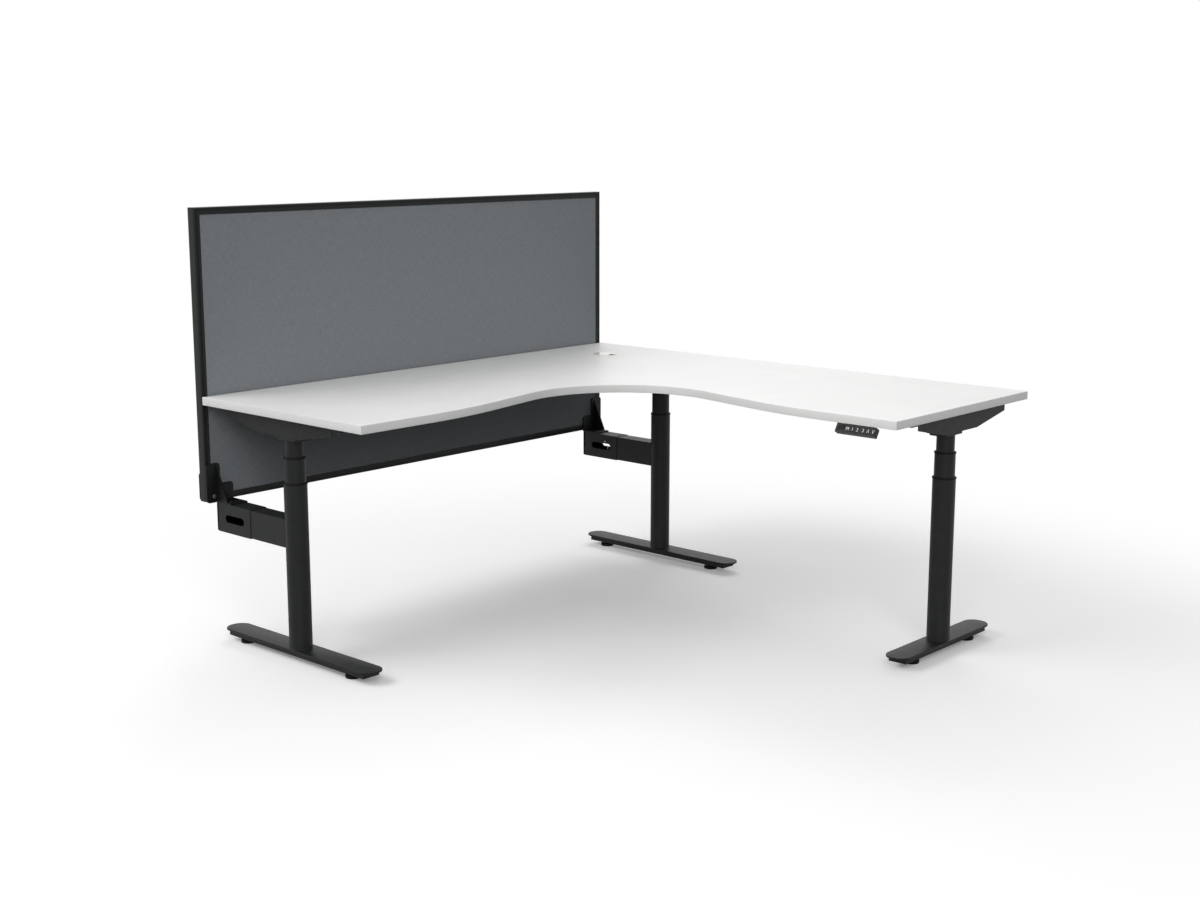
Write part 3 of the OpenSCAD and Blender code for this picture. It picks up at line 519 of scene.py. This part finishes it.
def tube(node):
    """A closed tube: up the outside, over the rim, down the bore and back under, arrises eased."""
    low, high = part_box(node)
    outer, soft = radius_of(node), TUBE_SOFT
    inner = outer - TUBE_WALL
    rows = [(outer - soft, low.z), (outer, low.z + soft),
            (outer, high.z - soft), (outer - soft, high.z),
            (inner + soft, high.z), (inner, high.z - soft),
            (inner, low.z + soft), (inner + soft, low.z)]
    return lathe(rows, axis_of(node))


def collar(centre, tube_r, next_tube_r, top):
    """A glide collar on the end of a tube that the next tube runs in: a rim with a rounded shoulder,
    and a sleeve below that stays clear of the bore."""
    rim_low, sleeve_low = top - COLLAR_H, top - COLLAR_DEPTH
    outer, bore, sleeve_r = tube_r + COLLAR_LIP, next_tube_r + PLAY, tube_r - TUBE_WALL - SLEEVE_GAP
    shoulder = arc(outer - COLLAR_SOFT, top - COLLAR_SOFT, COLLAR_SOFT, 0, 90, ARRIS_STEPS)
    rows = [(outer, rim_low), *shoulder, (bore, top), (bore, sleeve_low), (sleeve_r, sleeve_low),
            (sleeve_r, rim_low)]
    return lathe(rows, centre)


def outer_column(side):
    """The outer tube with its base disc inside, and a low fillet of weld round its foot."""
    node = "outer_tube_" + side
    low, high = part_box(node)
    outer, disc_top = radius_of(node), low.z + BASE_DISC_T
    fillet = arc(outer + WELD_R, low.z + WELD_R, WELD_R, 270, 180, ARRIS_STEPS)
    rows = [(0, low.z), (outer + WELD_R, low.z), *fillet, (outer, high.z),
            (outer - TUBE_WALL, high.z), (outer - TUBE_WALL, disc_top), (0, disc_top)]
    return solid_lathe(rows, axis_of(node))


def middle_guide(side):
    """The collar on the middle tube, and at its foot the guide ring, plug and hollow post that
    carries the spindle's nut."""
    node = "middle_guides_" + side
    low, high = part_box(node)
    centre = axis_of(node)
    ring_r, plug_r = OUTER_R - TUBE_WALL - PLAY, MIDDLE_R - TUBE_WALL - SLEEVE_GAP
    ring_top, plug_top = low.z + GUIDE_RING_H, low.z + 2 * GUIDE_RING_H
    post_top = low.z + GUIDE_POST_H
    nut_low = post_top - GUIDE_NUT_H
    rows = [(GUIDE_HOLE_R, low.z), (ring_r, low.z), (ring_r, ring_top), (plug_r, ring_top),
            (plug_r, plug_top), (GUIDE_POST_R, plug_top), (GUIDE_POST_R, post_top),
            (GUIDE_SCREW_R, post_top), (GUIDE_SCREW_R, nut_low), (GUIDE_HOLE_R, nut_low)]
    return joined(collar(centre, MIDDLE_R, INNER_R, high.z), lathe(rows, centre, GUIDE_SEGMENTS))


for side in SIDES:
    piece("outer_column_" + side, outer_column(side), "base", BLACK_COAT,
          replaces=("outer_tube_" + side,))
    piece("middle_column_" + side, tube("middle_tube_" + side), "middle_" + side, BLACK_COAT,
          replaces=("middle_tube_" + side,))
    piece("inner_column_" + side, tube("inner_tube_" + side), "top", BLACK_COAT,
          replaces=("inner_tube_" + side,))
    piece("middle_guide_" + side, middle_guide(side), "middle_" + side, BLACK_NYLON,
          replaces=("middle_guides_" + side,))

collar_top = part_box("outer_collars")[1].z
piece("outer_glide_collars", joined(*[
    collar(axis_of("outer_tube_" + side), OUTER_R, MIDDLE_R, collar_top) for side in SIDES]),
    "base", BLACK_NYLON, replaces=("outer_collars",))


# Feet: flat bars with round ends, folded channels below, and screw-in levelling feet

BAR_T = 6 * MM
BAR_END_R = 38 * MM
BAR_SOFT = 1.2 * MM
FOLD_MM = 1.5
BAR_LENGTH, SHORT_BAR_LENGTH = 700 * MM, 515 * MM
BAR_SHIFT, SHORT_BAR_SHIFT = 2 * MM, 3 * MM
END_STEPS = 12
PAD_SOFT, PAD_H = 2 * MM, 10 * MM
FOOT_NUT_R, FOOT_NUT_TOP, NUT_CORNER_SHARE = 8.5 * MM, 17.5 * MM, 1.16
FOOT_SEGMENTS = 48
STUD_R, THREAD_PITCH, THREAD_DEPTH = 5 * MM, 1 * MM, 0.6 * MM


def foot_bar(side):
    """The foot's flat bar, with round ends and eased arrises, centred on its levelling feet's line."""
    x, y = axis_of("outer_tube_" + side)
    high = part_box("foot_plates")[1]
    width = high.z * 2
    if side == "right":
        centre = (x + SHORT_BAR_SHIFT, y)
        outline = rounded_outline(SHORT_BAR_LENGTH, width, BAR_END_R, END_STEPS)
    else:
        centre = (x, y - BAR_SHIFT)
        outline = rounded_outline(width, BAR_LENGTH, BAR_END_R, END_STEPS)
    return plate(outline + np.array(centre), high.z - BAR_T, high.z, BAR_SOFT)


def levelling_foot(node):
    """A pad with rounded edges, a hexagonal nut above it and a threaded stud."""
    top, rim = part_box(node)[1].z, radius_of(node) - PAD_SOFT
    nut_seat = FOOT_NUT_R * NUT_CORNER_SHARE
    rows = [(0, 0), (rim, 0), *arc(rim, PAD_SOFT, PAD_SOFT, 270, 360, ARRIS_STEPS),
            *arc(rim, PAD_H - PAD_SOFT, PAD_SOFT, 0, 90, ARRIS_STEPS), (nut_seat, PAD_H),
            (FOOT_NUT_R, PAD_H), (FOOT_NUT_R, FOOT_NUT_TOP), (STUD_R, FOOT_NUT_TOP)]
    six_sided = (len(rows) - 3, len(rows) - 2)
    rows += [(STUD_R - THREAD_DEPTH * (turn % 2), FOOT_NUT_TOP + turn * THREAD_PITCH)
             for turn in range(1, int((top - FOOT_NUT_TOP) / THREAD_PITCH))]
    rows += [(STUD_R - THREAD_PITCH, top), (0, top)]
    return solid_lathe(rows, axis_of(node), FOOT_SEGMENTS, six_sided)


piece("foot_bars", joined(*[foot_bar(side) for side in SIDES]), "base", FOOT_COAT,
      replaces=("foot_plates",))
softened("foot_channels", FOLD_MM, "base", BLACK_COAT)
for side in SIDES:
    for end in ("front", "back"):
        node = f"levelling_foot_{side}_{end}"
        piece(node + "_moulded", levelling_foot(node), f"foot_{side}_{end}", BLACK_NYLON,
              replaces=(node,))


# Screws: rounded heads with a hexagonal socket. Each size is a head's radius and height, the
# shank's radius and the socket's

SCREW_SEGMENTS = 36
CROWN_TO, CROWN_STEPS = 60, 6
CROWN_FLAT_SHARE, CROWN_SIDE_SHARE = 0.55, 0.25
SOCKET_SHARE, SOCKET_TIP_SHARE = 0.45, 0.35
WORKTOP_SCREW = (4.5 * MM, 2.5 * MM, 2.4 * MM, 2 * MM)
FOOT_BOLT = (6.5 * MM, 5 * MM, 4 * MM, 3 * MM)
SLEEVE_SCREW = (5 * MM, 3 * MM, 3 * MM, 2 * MM)
THIN_HEAD_H = 1.2 * MM
SCREEN_BOLT = (7 * MM, 3 * MM, 3 * MM, 2.3 * MM)
BOLT_NUT_R, BOLT_NUT_H, BOLT_NUT_SOFT, BOLT_NUT_CLEAR = 4.3 * MM, 5 * MM, 0.5 * MM, 0.2 * MM


def socket_screw(head_r, head_h, shank_r, length, socket_r):
    """A button head standing on z = 0 with its shank below. The head's crown follows an ellipse up
    to 60 degrees, and the socket in it is a hexagon half as deep as the head."""
    crown = np.radians(np.linspace(0, CROWN_TO, CROWN_STEPS))
    reach = CROWN_FLAT_SHARE + (1 - CROWN_FLAT_SHARE) * np.cos(crown)
    rise = CROWN_SIDE_SHARE + (1 - CROWN_SIDE_SHARE) * np.sin(crown) / math.sin(crown[-1])
    rows = [(0, -length), (shank_r, -length), (shank_r, 0), (head_r, 0),
            *zip(head_r * reach, head_h * rise),
            (socket_r, head_h), (socket_r, head_h * SOCKET_SHARE), (0, head_h * SOCKET_TIP_SHARE)]
    return solid_lathe(rows, (0, 0), SCREW_SEGMENTS, (len(rows) - 3, len(rows) - 2))


def solid_islands(node):
    """The box of each separate solid in a CAD node: points are merged, joined by their faces, and
    each island's lowest and highest corners are returned."""
    work = bmesh.new()
    work.from_mesh(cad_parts[node].data)
    bmesh.ops.remove_doubles(work, verts=work.verts, dist=MERGE_CAD)
    left = set(work.verts)
    found = []
    while left:
        island, edge = set(), [left.pop()]
        while edge:
            vert = edge.pop()
            island.add(vert)
            for other in (e.other_vert(vert) for e in vert.link_edges):
                if other in left:
                    left.discard(other)
                    edge.append(other)
        places = np.array([v.co for v in island])
        found.append((places.min(0), places.max(0)))
    work.free()
    return sorted(found, key=lambda pair: tuple(np.round(pair[0], 4)))


def upright_screws(node, head_above, size):
    """A socket screw in the place of each solid of the node, its head above or below. A solid too
    short for the ordinary head has the thin one."""
    head_r, head_h, shank_r, socket_r = size
    shapes = []
    for low, high in solid_islands(node):
        tall = head_h if high[2] - low[2] > 2 * head_h else THIN_HEAD_H
        length = high[2] - low[2] - tall
        screw = socket_screw(head_r, tall, shank_r, length, socket_r)
        middle = ((low[0] + high[0]) / 2, (low[1] + high[1]) / 2)
        if head_above:
            turn = Matrix.Translation((*middle, high[2] - tall))
        else:
            turn = Matrix.Translation((*middle, low[2] + tall)) @ Matrix.Rotation(math.pi, 4, "X")
        shapes.append(placed(screw, turn))
    return joined(*shapes)


piece("worktop_screws_finished", upright_screws("worktop_screws", False, WORKTOP_SCREW),
      "top", ZINC, replaces=("worktop_screws",))
piece("foot_bolts_finished", upright_screws("foot_bolts", False, FOOT_BOLT),
      "base", ZINC, replaces=("foot_bolts",))
piece("sleeve_screws_finished", upright_screws("sleeve_screws", True, SLEEVE_SCREW),
      "base", BLACK_COAT, replaces=("sleeve_screws",))


def screen_bolt(low, high):
    """A button-head bolt along Y through the screen, and its nut behind the clamp plate."""
    head_r, head_h, shank, socket_r = SCREEN_BOLT
    x, z = (low[0] + high[0]) / 2, (low[2] + high[2]) / 2
    facing, behind = [Matrix.Translation((x, y, z)) @ Matrix.Rotation(turn, 4, "X") for y, turn in (
        (low[1] + head_h, math.pi / 2), (high[1] - BOLT_NUT_H, -math.pi / 2))]
    bolt = socket_screw(head_r, head_h, shank, high[1] - low[1] - head_h, socket_r)
    flat_r, end = BOLT_NUT_R - BOLT_NUT_SOFT, BOLT_NUT_H - BOLT_NUT_CLEAR
    rows = [(shank, 0), (flat_r, 0), (BOLT_NUT_R, BOLT_NUT_SOFT), (BOLT_NUT_R, end - BOLT_NUT_SOFT),
            (flat_r, end), (shank, end)]
    nut = lathe(rows, (0, 0), SCREW_SEGMENTS, (1, 2, 3, 4))
    return joined(placed(bolt, facing), placed(nut, behind))


piece("screen_bolts_finished", joined(*[screen_bolt(*pair) for pair in solid_islands("screen_bolts")]),
      "base", GREY_ZINC, replaces=("screen_bolts",))


# Screen: four mitred rails round a cloth-covered panel

RAIL_LOW, RAIL_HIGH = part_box("side_rails")
RAIL_W = 21.5 * MM
RAIL_R = 3 * MM
FACE_GROOVE = (4.5 * MM, 11.5 * MM)
FACE_GROOVE_DEEP = 1 * MM
FACING_FROM, FLOOR_WITHIN = 0.9, 0.1 * MM
GROOVE_D = 12 * MM
GROOVE_HALF = 13.6 * MM
LIP_SOFT = 0.5 * MM
MITRE_SOFT = 0.35 * MM
CLOTH_T, CLOTH_SINK, CLOTH_REACH = 0.6 * MM, 0.5 * MM, 4 * MM
CLOTH_EDGE_MM = [0, 1, 2, 4, 7, 12, 20, 34]
CLOTH_EVEN_FROM = 60 * MM
CLOTH_COLS, CLOTH_ROWS = 60, 30


def rail_profile():
    """The rail's section, counter-clockwise: x is the distance in from the screen's edge, y the
    distance from its middle plane. Round outer edges, eased lips, a shallow groove along each
    face and a deep one for the panel."""
    half = (RAIL_HIGH.y - RAIL_LOW.y) / 2
    groove_floor = RAIL_W - GROOVE_D
    lower_lip = [arc(RAIL_W - LIP_SOFT, -half + LIP_SOFT, LIP_SOFT, 270, 360, 3),
                 [[RAIL_W, -GROOVE_HALF]], [[groove_floor, -GROOVE_HALF]]]
    upper_lip = [[[groove_floor, GROOVE_HALF]], [[RAIL_W, GROOVE_HALF]],
                 arc(RAIL_W - LIP_SOFT, half - LIP_SOFT, LIP_SOFT, 0, 90, 3)]
    rim, lip = FACE_GROOVE
    floor_y = half - FACE_GROOVE_DEEP
    lower_groove = [[rim, -half], [rim, -floor_y], [lip, -floor_y], [lip, -half]]
    upper_groove = [[lip, half], [lip, floor_y], [rim, floor_y], [rim, half]]
    lower_edge = arc(RAIL_R, -half + RAIL_R, RAIL_R, 180, 270, CORNER_STEPS)
    upper_edge = arc(RAIL_R, half - RAIL_R, RAIL_R, 90, 180, CORNER_STEPS)
    return np.concatenate([lower_edge, lower_groove, *lower_lip, *upper_lip, upper_groove, upper_edge])


def mitred_rail(length):
    """A rail along X with its outer edge on z = 0: the section is carried to each mitre plane, where
    x stops short of the end by the distance in from the edge, and is drawn in there to leave a fine
    line between two rails."""
    section = rail_profile()
    small = drawn_in(section, MITRE_SOFT)
    rings = []
    for sign in (-1, 1):
        pair = [(small, 0.0), (section, MITRE_SOFT)]
        for outline, back in (pair if sign < 0 else pair[::-1]):
            x = sign * (length / 2 - outline[:, 0] - back)
            rings.append(np.column_stack([x, outline[:, 1], outline[:, 0]]))
    count = len(section)
    faces = grid_faces(4, count, wrap_cols=True)
    faces += [list(range(count)), [3 * count + i for i in range(count)][::-1]]
    return np.concatenate(rings), faces


screen_l = RAIL_HIGH.x - RAIL_LOW.x
screen_h = RAIL_HIGH.z - RAIL_LOW.z
screen_middle = ((RAIL_LOW.x + RAIL_HIGH.x) / 2, (RAIL_LOW.y + RAIL_HIGH.y) / 2)


def rail_place(x, z, turn):
    """Where a rail goes: turned about Y and moved to the middle of its side of the screen."""
    return Matrix.Translation((x, screen_middle[1], z)) @ Matrix.Rotation(math.radians(turn), 4, "Y")


def paint_groove_shade(made):
    """The floors of a rail's face grooves, found by their depth, get a near-black finish: painted
    shade, darker than the shallow modelled groove would be shaded by itself.
    """
    made.data.materials.append(GROOVE_PAINTED_SHADE)
    floor_y = (RAIL_HIGH.y - RAIL_LOW.y) / 2 - FACE_GROOVE_DEEP
    for polygon in made.data.polygons:
        off_middle = abs(polygon.center.y - screen_middle[1])
        if abs(polygon.normal.y) > FACING_FROM and abs(off_middle - floor_y) < FLOOR_WITHIN:
            polygon.material_index = 1


long_rail, tall_rail = mitred_rail(screen_l), mitred_rail(screen_h)
middle_z = (RAIL_LOW.z + RAIL_HIGH.z) / 2
paint_groove_shade(piece("screen_rails_long", joined(
    placed(long_rail, rail_place(screen_middle[0], RAIL_LOW.z, 0)),
    placed(long_rail, rail_place(screen_middle[0], RAIL_HIGH.z, 180))),
    "base", LONG_RAIL, replaces=("long_rails",)))
paint_groove_shade(piece("screen_rails_tall", joined(
    placed(tall_rail, rail_place(RAIL_LOW.x, middle_z, 90)),
    placed(tall_rail, rail_place(RAIL_HIGH.x, middle_z, -90))),
    "base", TALL_RAIL, replaces=("side_rails",)))


def cloth_panel(node, facing):
    """The cloth on one face of the panel, stretched flat: a grid in real width and height whose
    depth falls away near the groove by an exponential of the distance to the nearest edge."""
    low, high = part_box(node)
    width, height = high.x - low.x, high.z - low.z
    fine = np.array(CLOTH_EDGE_MM) * MM
    across, up = [np.concatenate([
        fine, np.linspace(CLOTH_EVEN_FROM, span - CLOTH_EVEN_FROM, count), span - fine[::-1]])
        for span, count in ((width, CLOTH_COLS), (height, CLOTH_ROWS))]
    u, v = np.meshgrid(across, up, indexing="ij")
    edge = np.minimum(np.minimum(u, width - u), np.minimum(v, height - v))
    depth = -CLOTH_SINK * np.exp(-edge / CLOTH_REACH)
    face = high.y if facing > 0 else low.y
    outer = np.stack([low.x + u, face + facing * depth, low.z + v], axis=-1).reshape(-1, 3)
    inner = outer - np.array([0, facing * CLOTH_T, 0])
    rows, cols = u.shape
    top = grid_faces(rows, cols)
    rim = np.concatenate([np.arange(cols), np.arange(1, rows) * cols + cols - 1,
                          (rows - 1) * cols + np.arange(cols - 2, -1, -1),
                          np.arange(rows - 2, 0, -1) * cols])
    nxt, count = np.roll(rim, -1), rows * cols
    sides = np.stack([rim, nxt, nxt + count, rim + count], axis=-1).tolist()
    under = [[corner + count for corner in face_corners[::-1]] for face_corners in top]
    made = piece(node + "_cloth", (np.concatenate([outer, inner]), top + under + sides), "base",
                 SCREEN_CLOTH, smooth=60.0, replaces=(node,))
    layer = made.data.uv_layers.new(name="cloth")
    corners = np.zeros(len(made.data.loops), int)
    made.data.loops.foreach_get("vertex_index", corners)
    places = np.zeros(len(made.data.vertices) * 3)
    made.data.vertices.foreach_get("co", places)
    places = places.reshape(-1, 3)[corners]
    flat = np.stack([places[:, 0] - low.x, places[:, 2] - low.z], axis=-1)
    layer.data.foreach_set("uv", flat.ravel())


cloth_panel("fabric_front", -1)
cloth_panel("fabric_back", 1)


# Steel pieces that keep their CAD form, with folded edges

STEEL_PIECES = (
    ("inner_arms", 1.0, "base"), ("arm_sleeve_left", 0.4, "base"), ("arm_sleeve_corner", 0.4, "base"),
    ("beam_left", 1.8, "top"), ("beam_corner", 1.8, "top"), ("beam_right", 1.8, "top"),
    ("side_plates", 0.8, "top"), ("crossrails", 1.8, "top"))
for node, width_mm, body in STEEL_PIECES:
    softened(node, width_mm, body, BLACK_COAT)
for node in ("screen_bracket_left", "screen_bracket_corner", "clamp_plates"):
    softened(node, 0.7, "base", BRACKET_COAT)

softened("gear_housings", 1.0, "top", BLACK_COAT)
softened("arm_end_caps", 0.8, "base", CAP_NYLON)
softened("control_box", 1.2, "top", BLACK_ABS)


# Cable port

LINER_R, LINER_BORE = 39.7 * MM, 35.2 * MM
FLANGE_T, FLANGE_SOFT = 1.5 * MM, 0.7 * MM


def port_liner():
    """A sleeve through the board with a thin rounded flange on top."""
    low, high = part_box("grommet_liner")
    rim_r, under = radius_of("grommet_liner"), high.z - FLANGE_T
    shoulder = arc(rim_r - FLANGE_SOFT, high.z - FLANGE_SOFT, FLANGE_SOFT, 0, 90, ARRIS_STEPS)
    rows = [(LINER_R, low.z), (LINER_R, under), (rim_r, under), *shoulder, (LINER_BORE, high.z),
            (LINER_BORE, low.z)]
    return lathe(rows, axis_of("grommet_liner"))


piece("port_liner_finished", port_liner(), "top", WHITE_ABS,
      replaces=("grommet_liner",))
softened("grommet_cap", 0.6, "port_cap", WHITE_ABS, "port_cap_finished", 3)


# Handset: a tilted bar with six keys and a display window

TILT = 31.0
HANDSET_END = 64.5 * MM
HANDSET_W = 133 * MM
HANDSET_H = 27.4 * MM
KEY_W, KEY_H = 11 * MM, 17 * MM
KEY_PROUD, KEY_T = 0.4 * MM, 3 * MM
KEY_CORNER_R, KEY_SOFT = 1.2 * MM, 0.35 * MM
FIRST_KEY, KEY_PITCH, GROUP_GAP = 40 * MM, 16.6 * MM, 2.6 * MM
KEYS = ("memory", "one", "two", "three", "up", "down")
LETTERS = {"memory": "M", "one": "1", "two": "2", "three": "3"}
LEGEND_H = 10.8 * MM
CAPITAL_SHARE = 0.73
CHEVRON_STROKE, CHEVRON_HALF_SHARE, CHEVRON_NOTCH_SHARE = 1.1 * MM, 0.38, 1.5
INK_HALF, INK_LIFT = 0.05 * MM, 0.03 * MM
WINDOW_W, WINDOW_H, WINDOW_CORNER_R, WINDOW_X = 23 * MM, 16 * MM, 1.5 * MM, 18 * MM
WINDOW_SUNK, WINDOW_PROUD, WINDOW_SOFT = 0.5 * MM, 0.1 * MM, 0.08 * MM
KEY_CORNER_STEPS = 5

handset_place = (
    Matrix.Translation((CORNER.x - WING_DEPTH, EDGE_LOW.y + HANDSET_END + HANDSET_W, BOARD_LOW))
    @ Matrix.Rotation(math.radians(-90), 4, "Z") @ Matrix.Rotation(math.radians(90 - TILT), 4, "X"))


def key_centre(number):
    """The middle of a key on the handset's face: evenly spaced, with a gap before the last group."""
    return FIRST_KEY + number * KEY_PITCH + (GROUP_GAP if number > 2 else 0.0), -HANDSET_H / 2


def lettering(text, height):
    """A short legend as flat letters 0.1 mm thick, its middle at the origin."""
    curve = bpy.data.curves.new("legend_" + text, "FONT")
    curve.body = text
    curve.size = height / CAPITAL_SHARE
    curve.align_x = "CENTER"
    curve.extrude = INK_HALF
    curve.resolution_u = 6
    holder = bpy.data.objects.new("legend_holder", curve)
    bpy.context.scene.collection.objects.link(holder)
    bpy.context.view_layer.update()
    graph = bpy.context.evaluated_depsgraph_get()
    mesh = bpy.data.meshes.new_from_object(holder.evaluated_get(graph))
    bpy.data.objects.remove(holder)
    points = np.array([v.co for v in mesh.vertices])
    points[:, 1] -= height / 2
    return points, [list(p.vertices) for p in mesh.polygons]


def chevron(height, up):
    """An arrow legend: two strokes that meet in a point, drawn as one bent bar 0.1 mm thick."""
    stroke, half = CHEVRON_STROKE, height * CHEVRON_HALF_SHARE
    way = 1 if up else -1
    rise, notch = way * height / 2, way * stroke * CHEVRON_NOTCH_SHARE
    outline = [(-half, -rise), (-half + stroke, -rise), (0, rise - notch), (half - stroke, -rise),
               (half, -rise), (stroke / 2, rise), (-stroke / 2, rise)]
    count = len(outline)
    points = np.concatenate([np.column_stack([outline, np.full(count, level)])
                             for level in (-INK_HALF, INK_HALF)])
    faces = grid_faces(2, count, wrap_cols=True)
    faces += [list(range(count)), [count + i for i in range(count)][::-1]]
    return points, faces


softened("handset_body", 0.4, "top", BLACK_ABS, whole=False)
for number, key in enumerate(KEYS):
    x, y = key_centre(number)
    outline = rounded_outline(KEY_W, KEY_H, KEY_CORNER_R, KEY_CORNER_STEPS) + np.array([x, y])
    cap = placed(plate(outline, KEY_PROUD - KEY_T, KEY_PROUD, KEY_SOFT), handset_place)
    piece("key_" + key + "_cap", cap, "key_" + key, BLACK_ABS,
          replaces=("button_" + key,))
    if key in LETTERS:
        shape = lettering(LETTERS[key], LEGEND_H)
    else:
        shape = chevron(LEGEND_H, key == "up")
    over = handset_place @ Matrix.Translation((x, y, KEY_PROUD + INK_LIFT))
    piece("key_" + key + "_legend", placed(shape, over), "key_" + key, INK)

window = rounded_outline(WINDOW_W, WINDOW_H, WINDOW_CORNER_R, KEY_CORNER_STEPS)
window += np.array([WINDOW_X, -HANDSET_H / 2])
pane = plate(window, -WINDOW_SUNK, WINDOW_PROUD, WINDOW_SOFT)
piece("handset_window", placed(pane, handset_place), "top", GLASS)


# CAD nodes that stay as they are, with their finish

KEPT = {"desktop": (MELAMINE, "white_board"), "screen_core": (FELT, "felt_core"),
        "corner_keys": (ZINC, "zinc_steel"), "motors": (ZINC, "zinc_steel"),
        "spindle_left": (ZINC, "zinc_steel"), "spindle_corner": (ZINC, "zinc_steel"),
        "spindle_right": (ZINC, "zinc_steel")}
for node, (material, slot) in KEPT.items():
    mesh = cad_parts[node].data
    mesh.materials.clear()
    mesh.materials.append(material)


# Floor, light and world

FLOOR_HALF = 60.0
PAPER_CLOUD_MM = 900.0
WHITE = (1, 1, 1, 1)
FLOOR_BOUNCE = (0.12, 0.12, 0.12, 1)
FLOOR_GLOW = 0.17
WHITE_FROM, WHITE_AT = 1.3, 2.8
WORLD_LIGHT = 0.25


def background_rays(tree):
    """1 for the rays that see the background itself, or see it mirrored or through glass, else 0."""
    path = add(tree, "ShaderNodeLightPath")
    mirrored = add(tree, "ShaderNodeMath", {
        0: path.outputs["Is Glossy Ray"], 1: path.outputs["Is Transmission Ray"]}, operation="MAXIMUM")
    return add(tree, "ShaderNodeMath", {
        0: path.outputs["Is Camera Ray"], 1: mirrored.outputs[0]}, operation="MAXIMUM").outputs[0]


def floor_material():
    """A pale matt studio floor that runs into the white backdrop: near the desk it takes its shadow
    and glows a little, and with the distance from the desk it turns to plain white. It throws little
    light up under the desk."""
    material, tree, shader = new_finish("studio_floor", "#fafafa", 0.95, **{"Specular IOR Level": 0.0})
    tint(tree, shader, grain(tree, object_points(tree), PAPER_CLOUD_MM), "#f9f9f9", "#fbfbfb")
    output = next(n for n in tree.nodes if n.bl_idname == "ShaderNodeOutputMaterial")
    glow = add(tree, "ShaderNodeEmission", {"Color": WHITE, "Strength": FLOOR_GLOW})
    near = add(tree, "ShaderNodeAddShader", {0: shader.outputs[0], 1: glow.outputs[0]})
    white = add(tree, "ShaderNodeEmission", {"Color": WHITE, "Strength": 1.0})
    source = add(tree, "ShaderNodeTexCoord")
    distance = add(tree, "ShaderNodeVectorMath", {0: source.outputs["Object"]}, operation="LENGTH")
    far = add(tree, "ShaderNodeMapRange", {
        "Value": distance.outputs["Value"], "From Min": WHITE_FROM, "From Max": WHITE_AT},
        interpolation_type="SMOOTHSTEP")
    seen = add(tree, "ShaderNodeMixShader", {
        0: far.outputs[0], 1: near.outputs[0], 2: white.outputs[0]})
    bounce = add(tree, "ShaderNodeBsdfDiffuse", {"Color": FLOOR_BOUNCE})
    both = add(tree, "ShaderNodeMixShader", {
        0: background_rays(tree), 1: bounce.outputs[0], 2: seen.outputs[0]})
    tree.links.new(both.outputs[0], output.inputs["Surface"])
    return material


floor_mesh = bpy.data.meshes.new("floor")
floor_corners = [(x * FLOOR_HALF, y * FLOOR_HALF, 0) for x, y in ((-1, -1), (1, -1), (1, 1), (-1, 1))]
floor_mesh.from_pydata(floor_corners, [], [(0, 1, 2, 3)])
floor = bpy.data.objects.new("floor", floor_mesh)
floor_mesh.materials.append(floor_material())
bpy.context.scene.collection.objects.link(floor)

world = bpy.data.worlds.new("studio")
bpy.context.scene.world = world
world.use_nodes = True
sky = world.node_tree
sky.nodes.clear()
dome = add(sky, "ShaderNodeBackground", {"Color": WHITE, "Strength": WORLD_LIGHT})
backdrop = add(sky, "ShaderNodeBackground", {"Color": WHITE, "Strength": 1.0})
either = add(sky, "ShaderNodeMixShader", {
    0: background_rays(sky), 1: dome.outputs[0], 2: backdrop.outputs[0]})
add(sky, "ShaderNodeOutputWorld", {"Surface": either.outputs[0]})


def softbox(name, place, size, power):
    """A square area lamp at a place, facing the desk."""
    data = bpy.data.lights.new(name, "AREA")
    data.shape = "SQUARE"
    data.size = size
    data.energy = power
    lamp = bpy.data.objects.new(name, data)
    lamp.location = place
    lamp.rotation_euler = (Vector(LIT_POINT) - Vector(place)).to_track_quat("-Z", "Y").to_euler()
    bpy.context.scene.collection.objects.link(lamp)


LIT_POINT = (0.1, -0.1, 0.6)
# Each softbox: its name, place in metres, side in metres and power in watts
SOFTBOXES = (("key_back_left", (-3.5, 4.0, 5.0), 3.5, 113.0),
             ("key_left", (-6.0, 2.5, 5.0), 3.0, 106.0),
             ("key_back_right", (4.0, 4.0, 5.0), 3.5, 83.0),
             ("key_right", (5.0, 1.5, 5.0), 3.5, 49.0),
             ("fill_front", (-4.0, -4.0, 3.5), 3.5, 147.0),
             ("top", (0.0, 0.0, 6.5), 4.0, 38.0))
for lamp_settings in SOFTBOXES:
    softbox(*lamp_settings)

bpy.context.scene.view_settings.view_transform = "Standard"
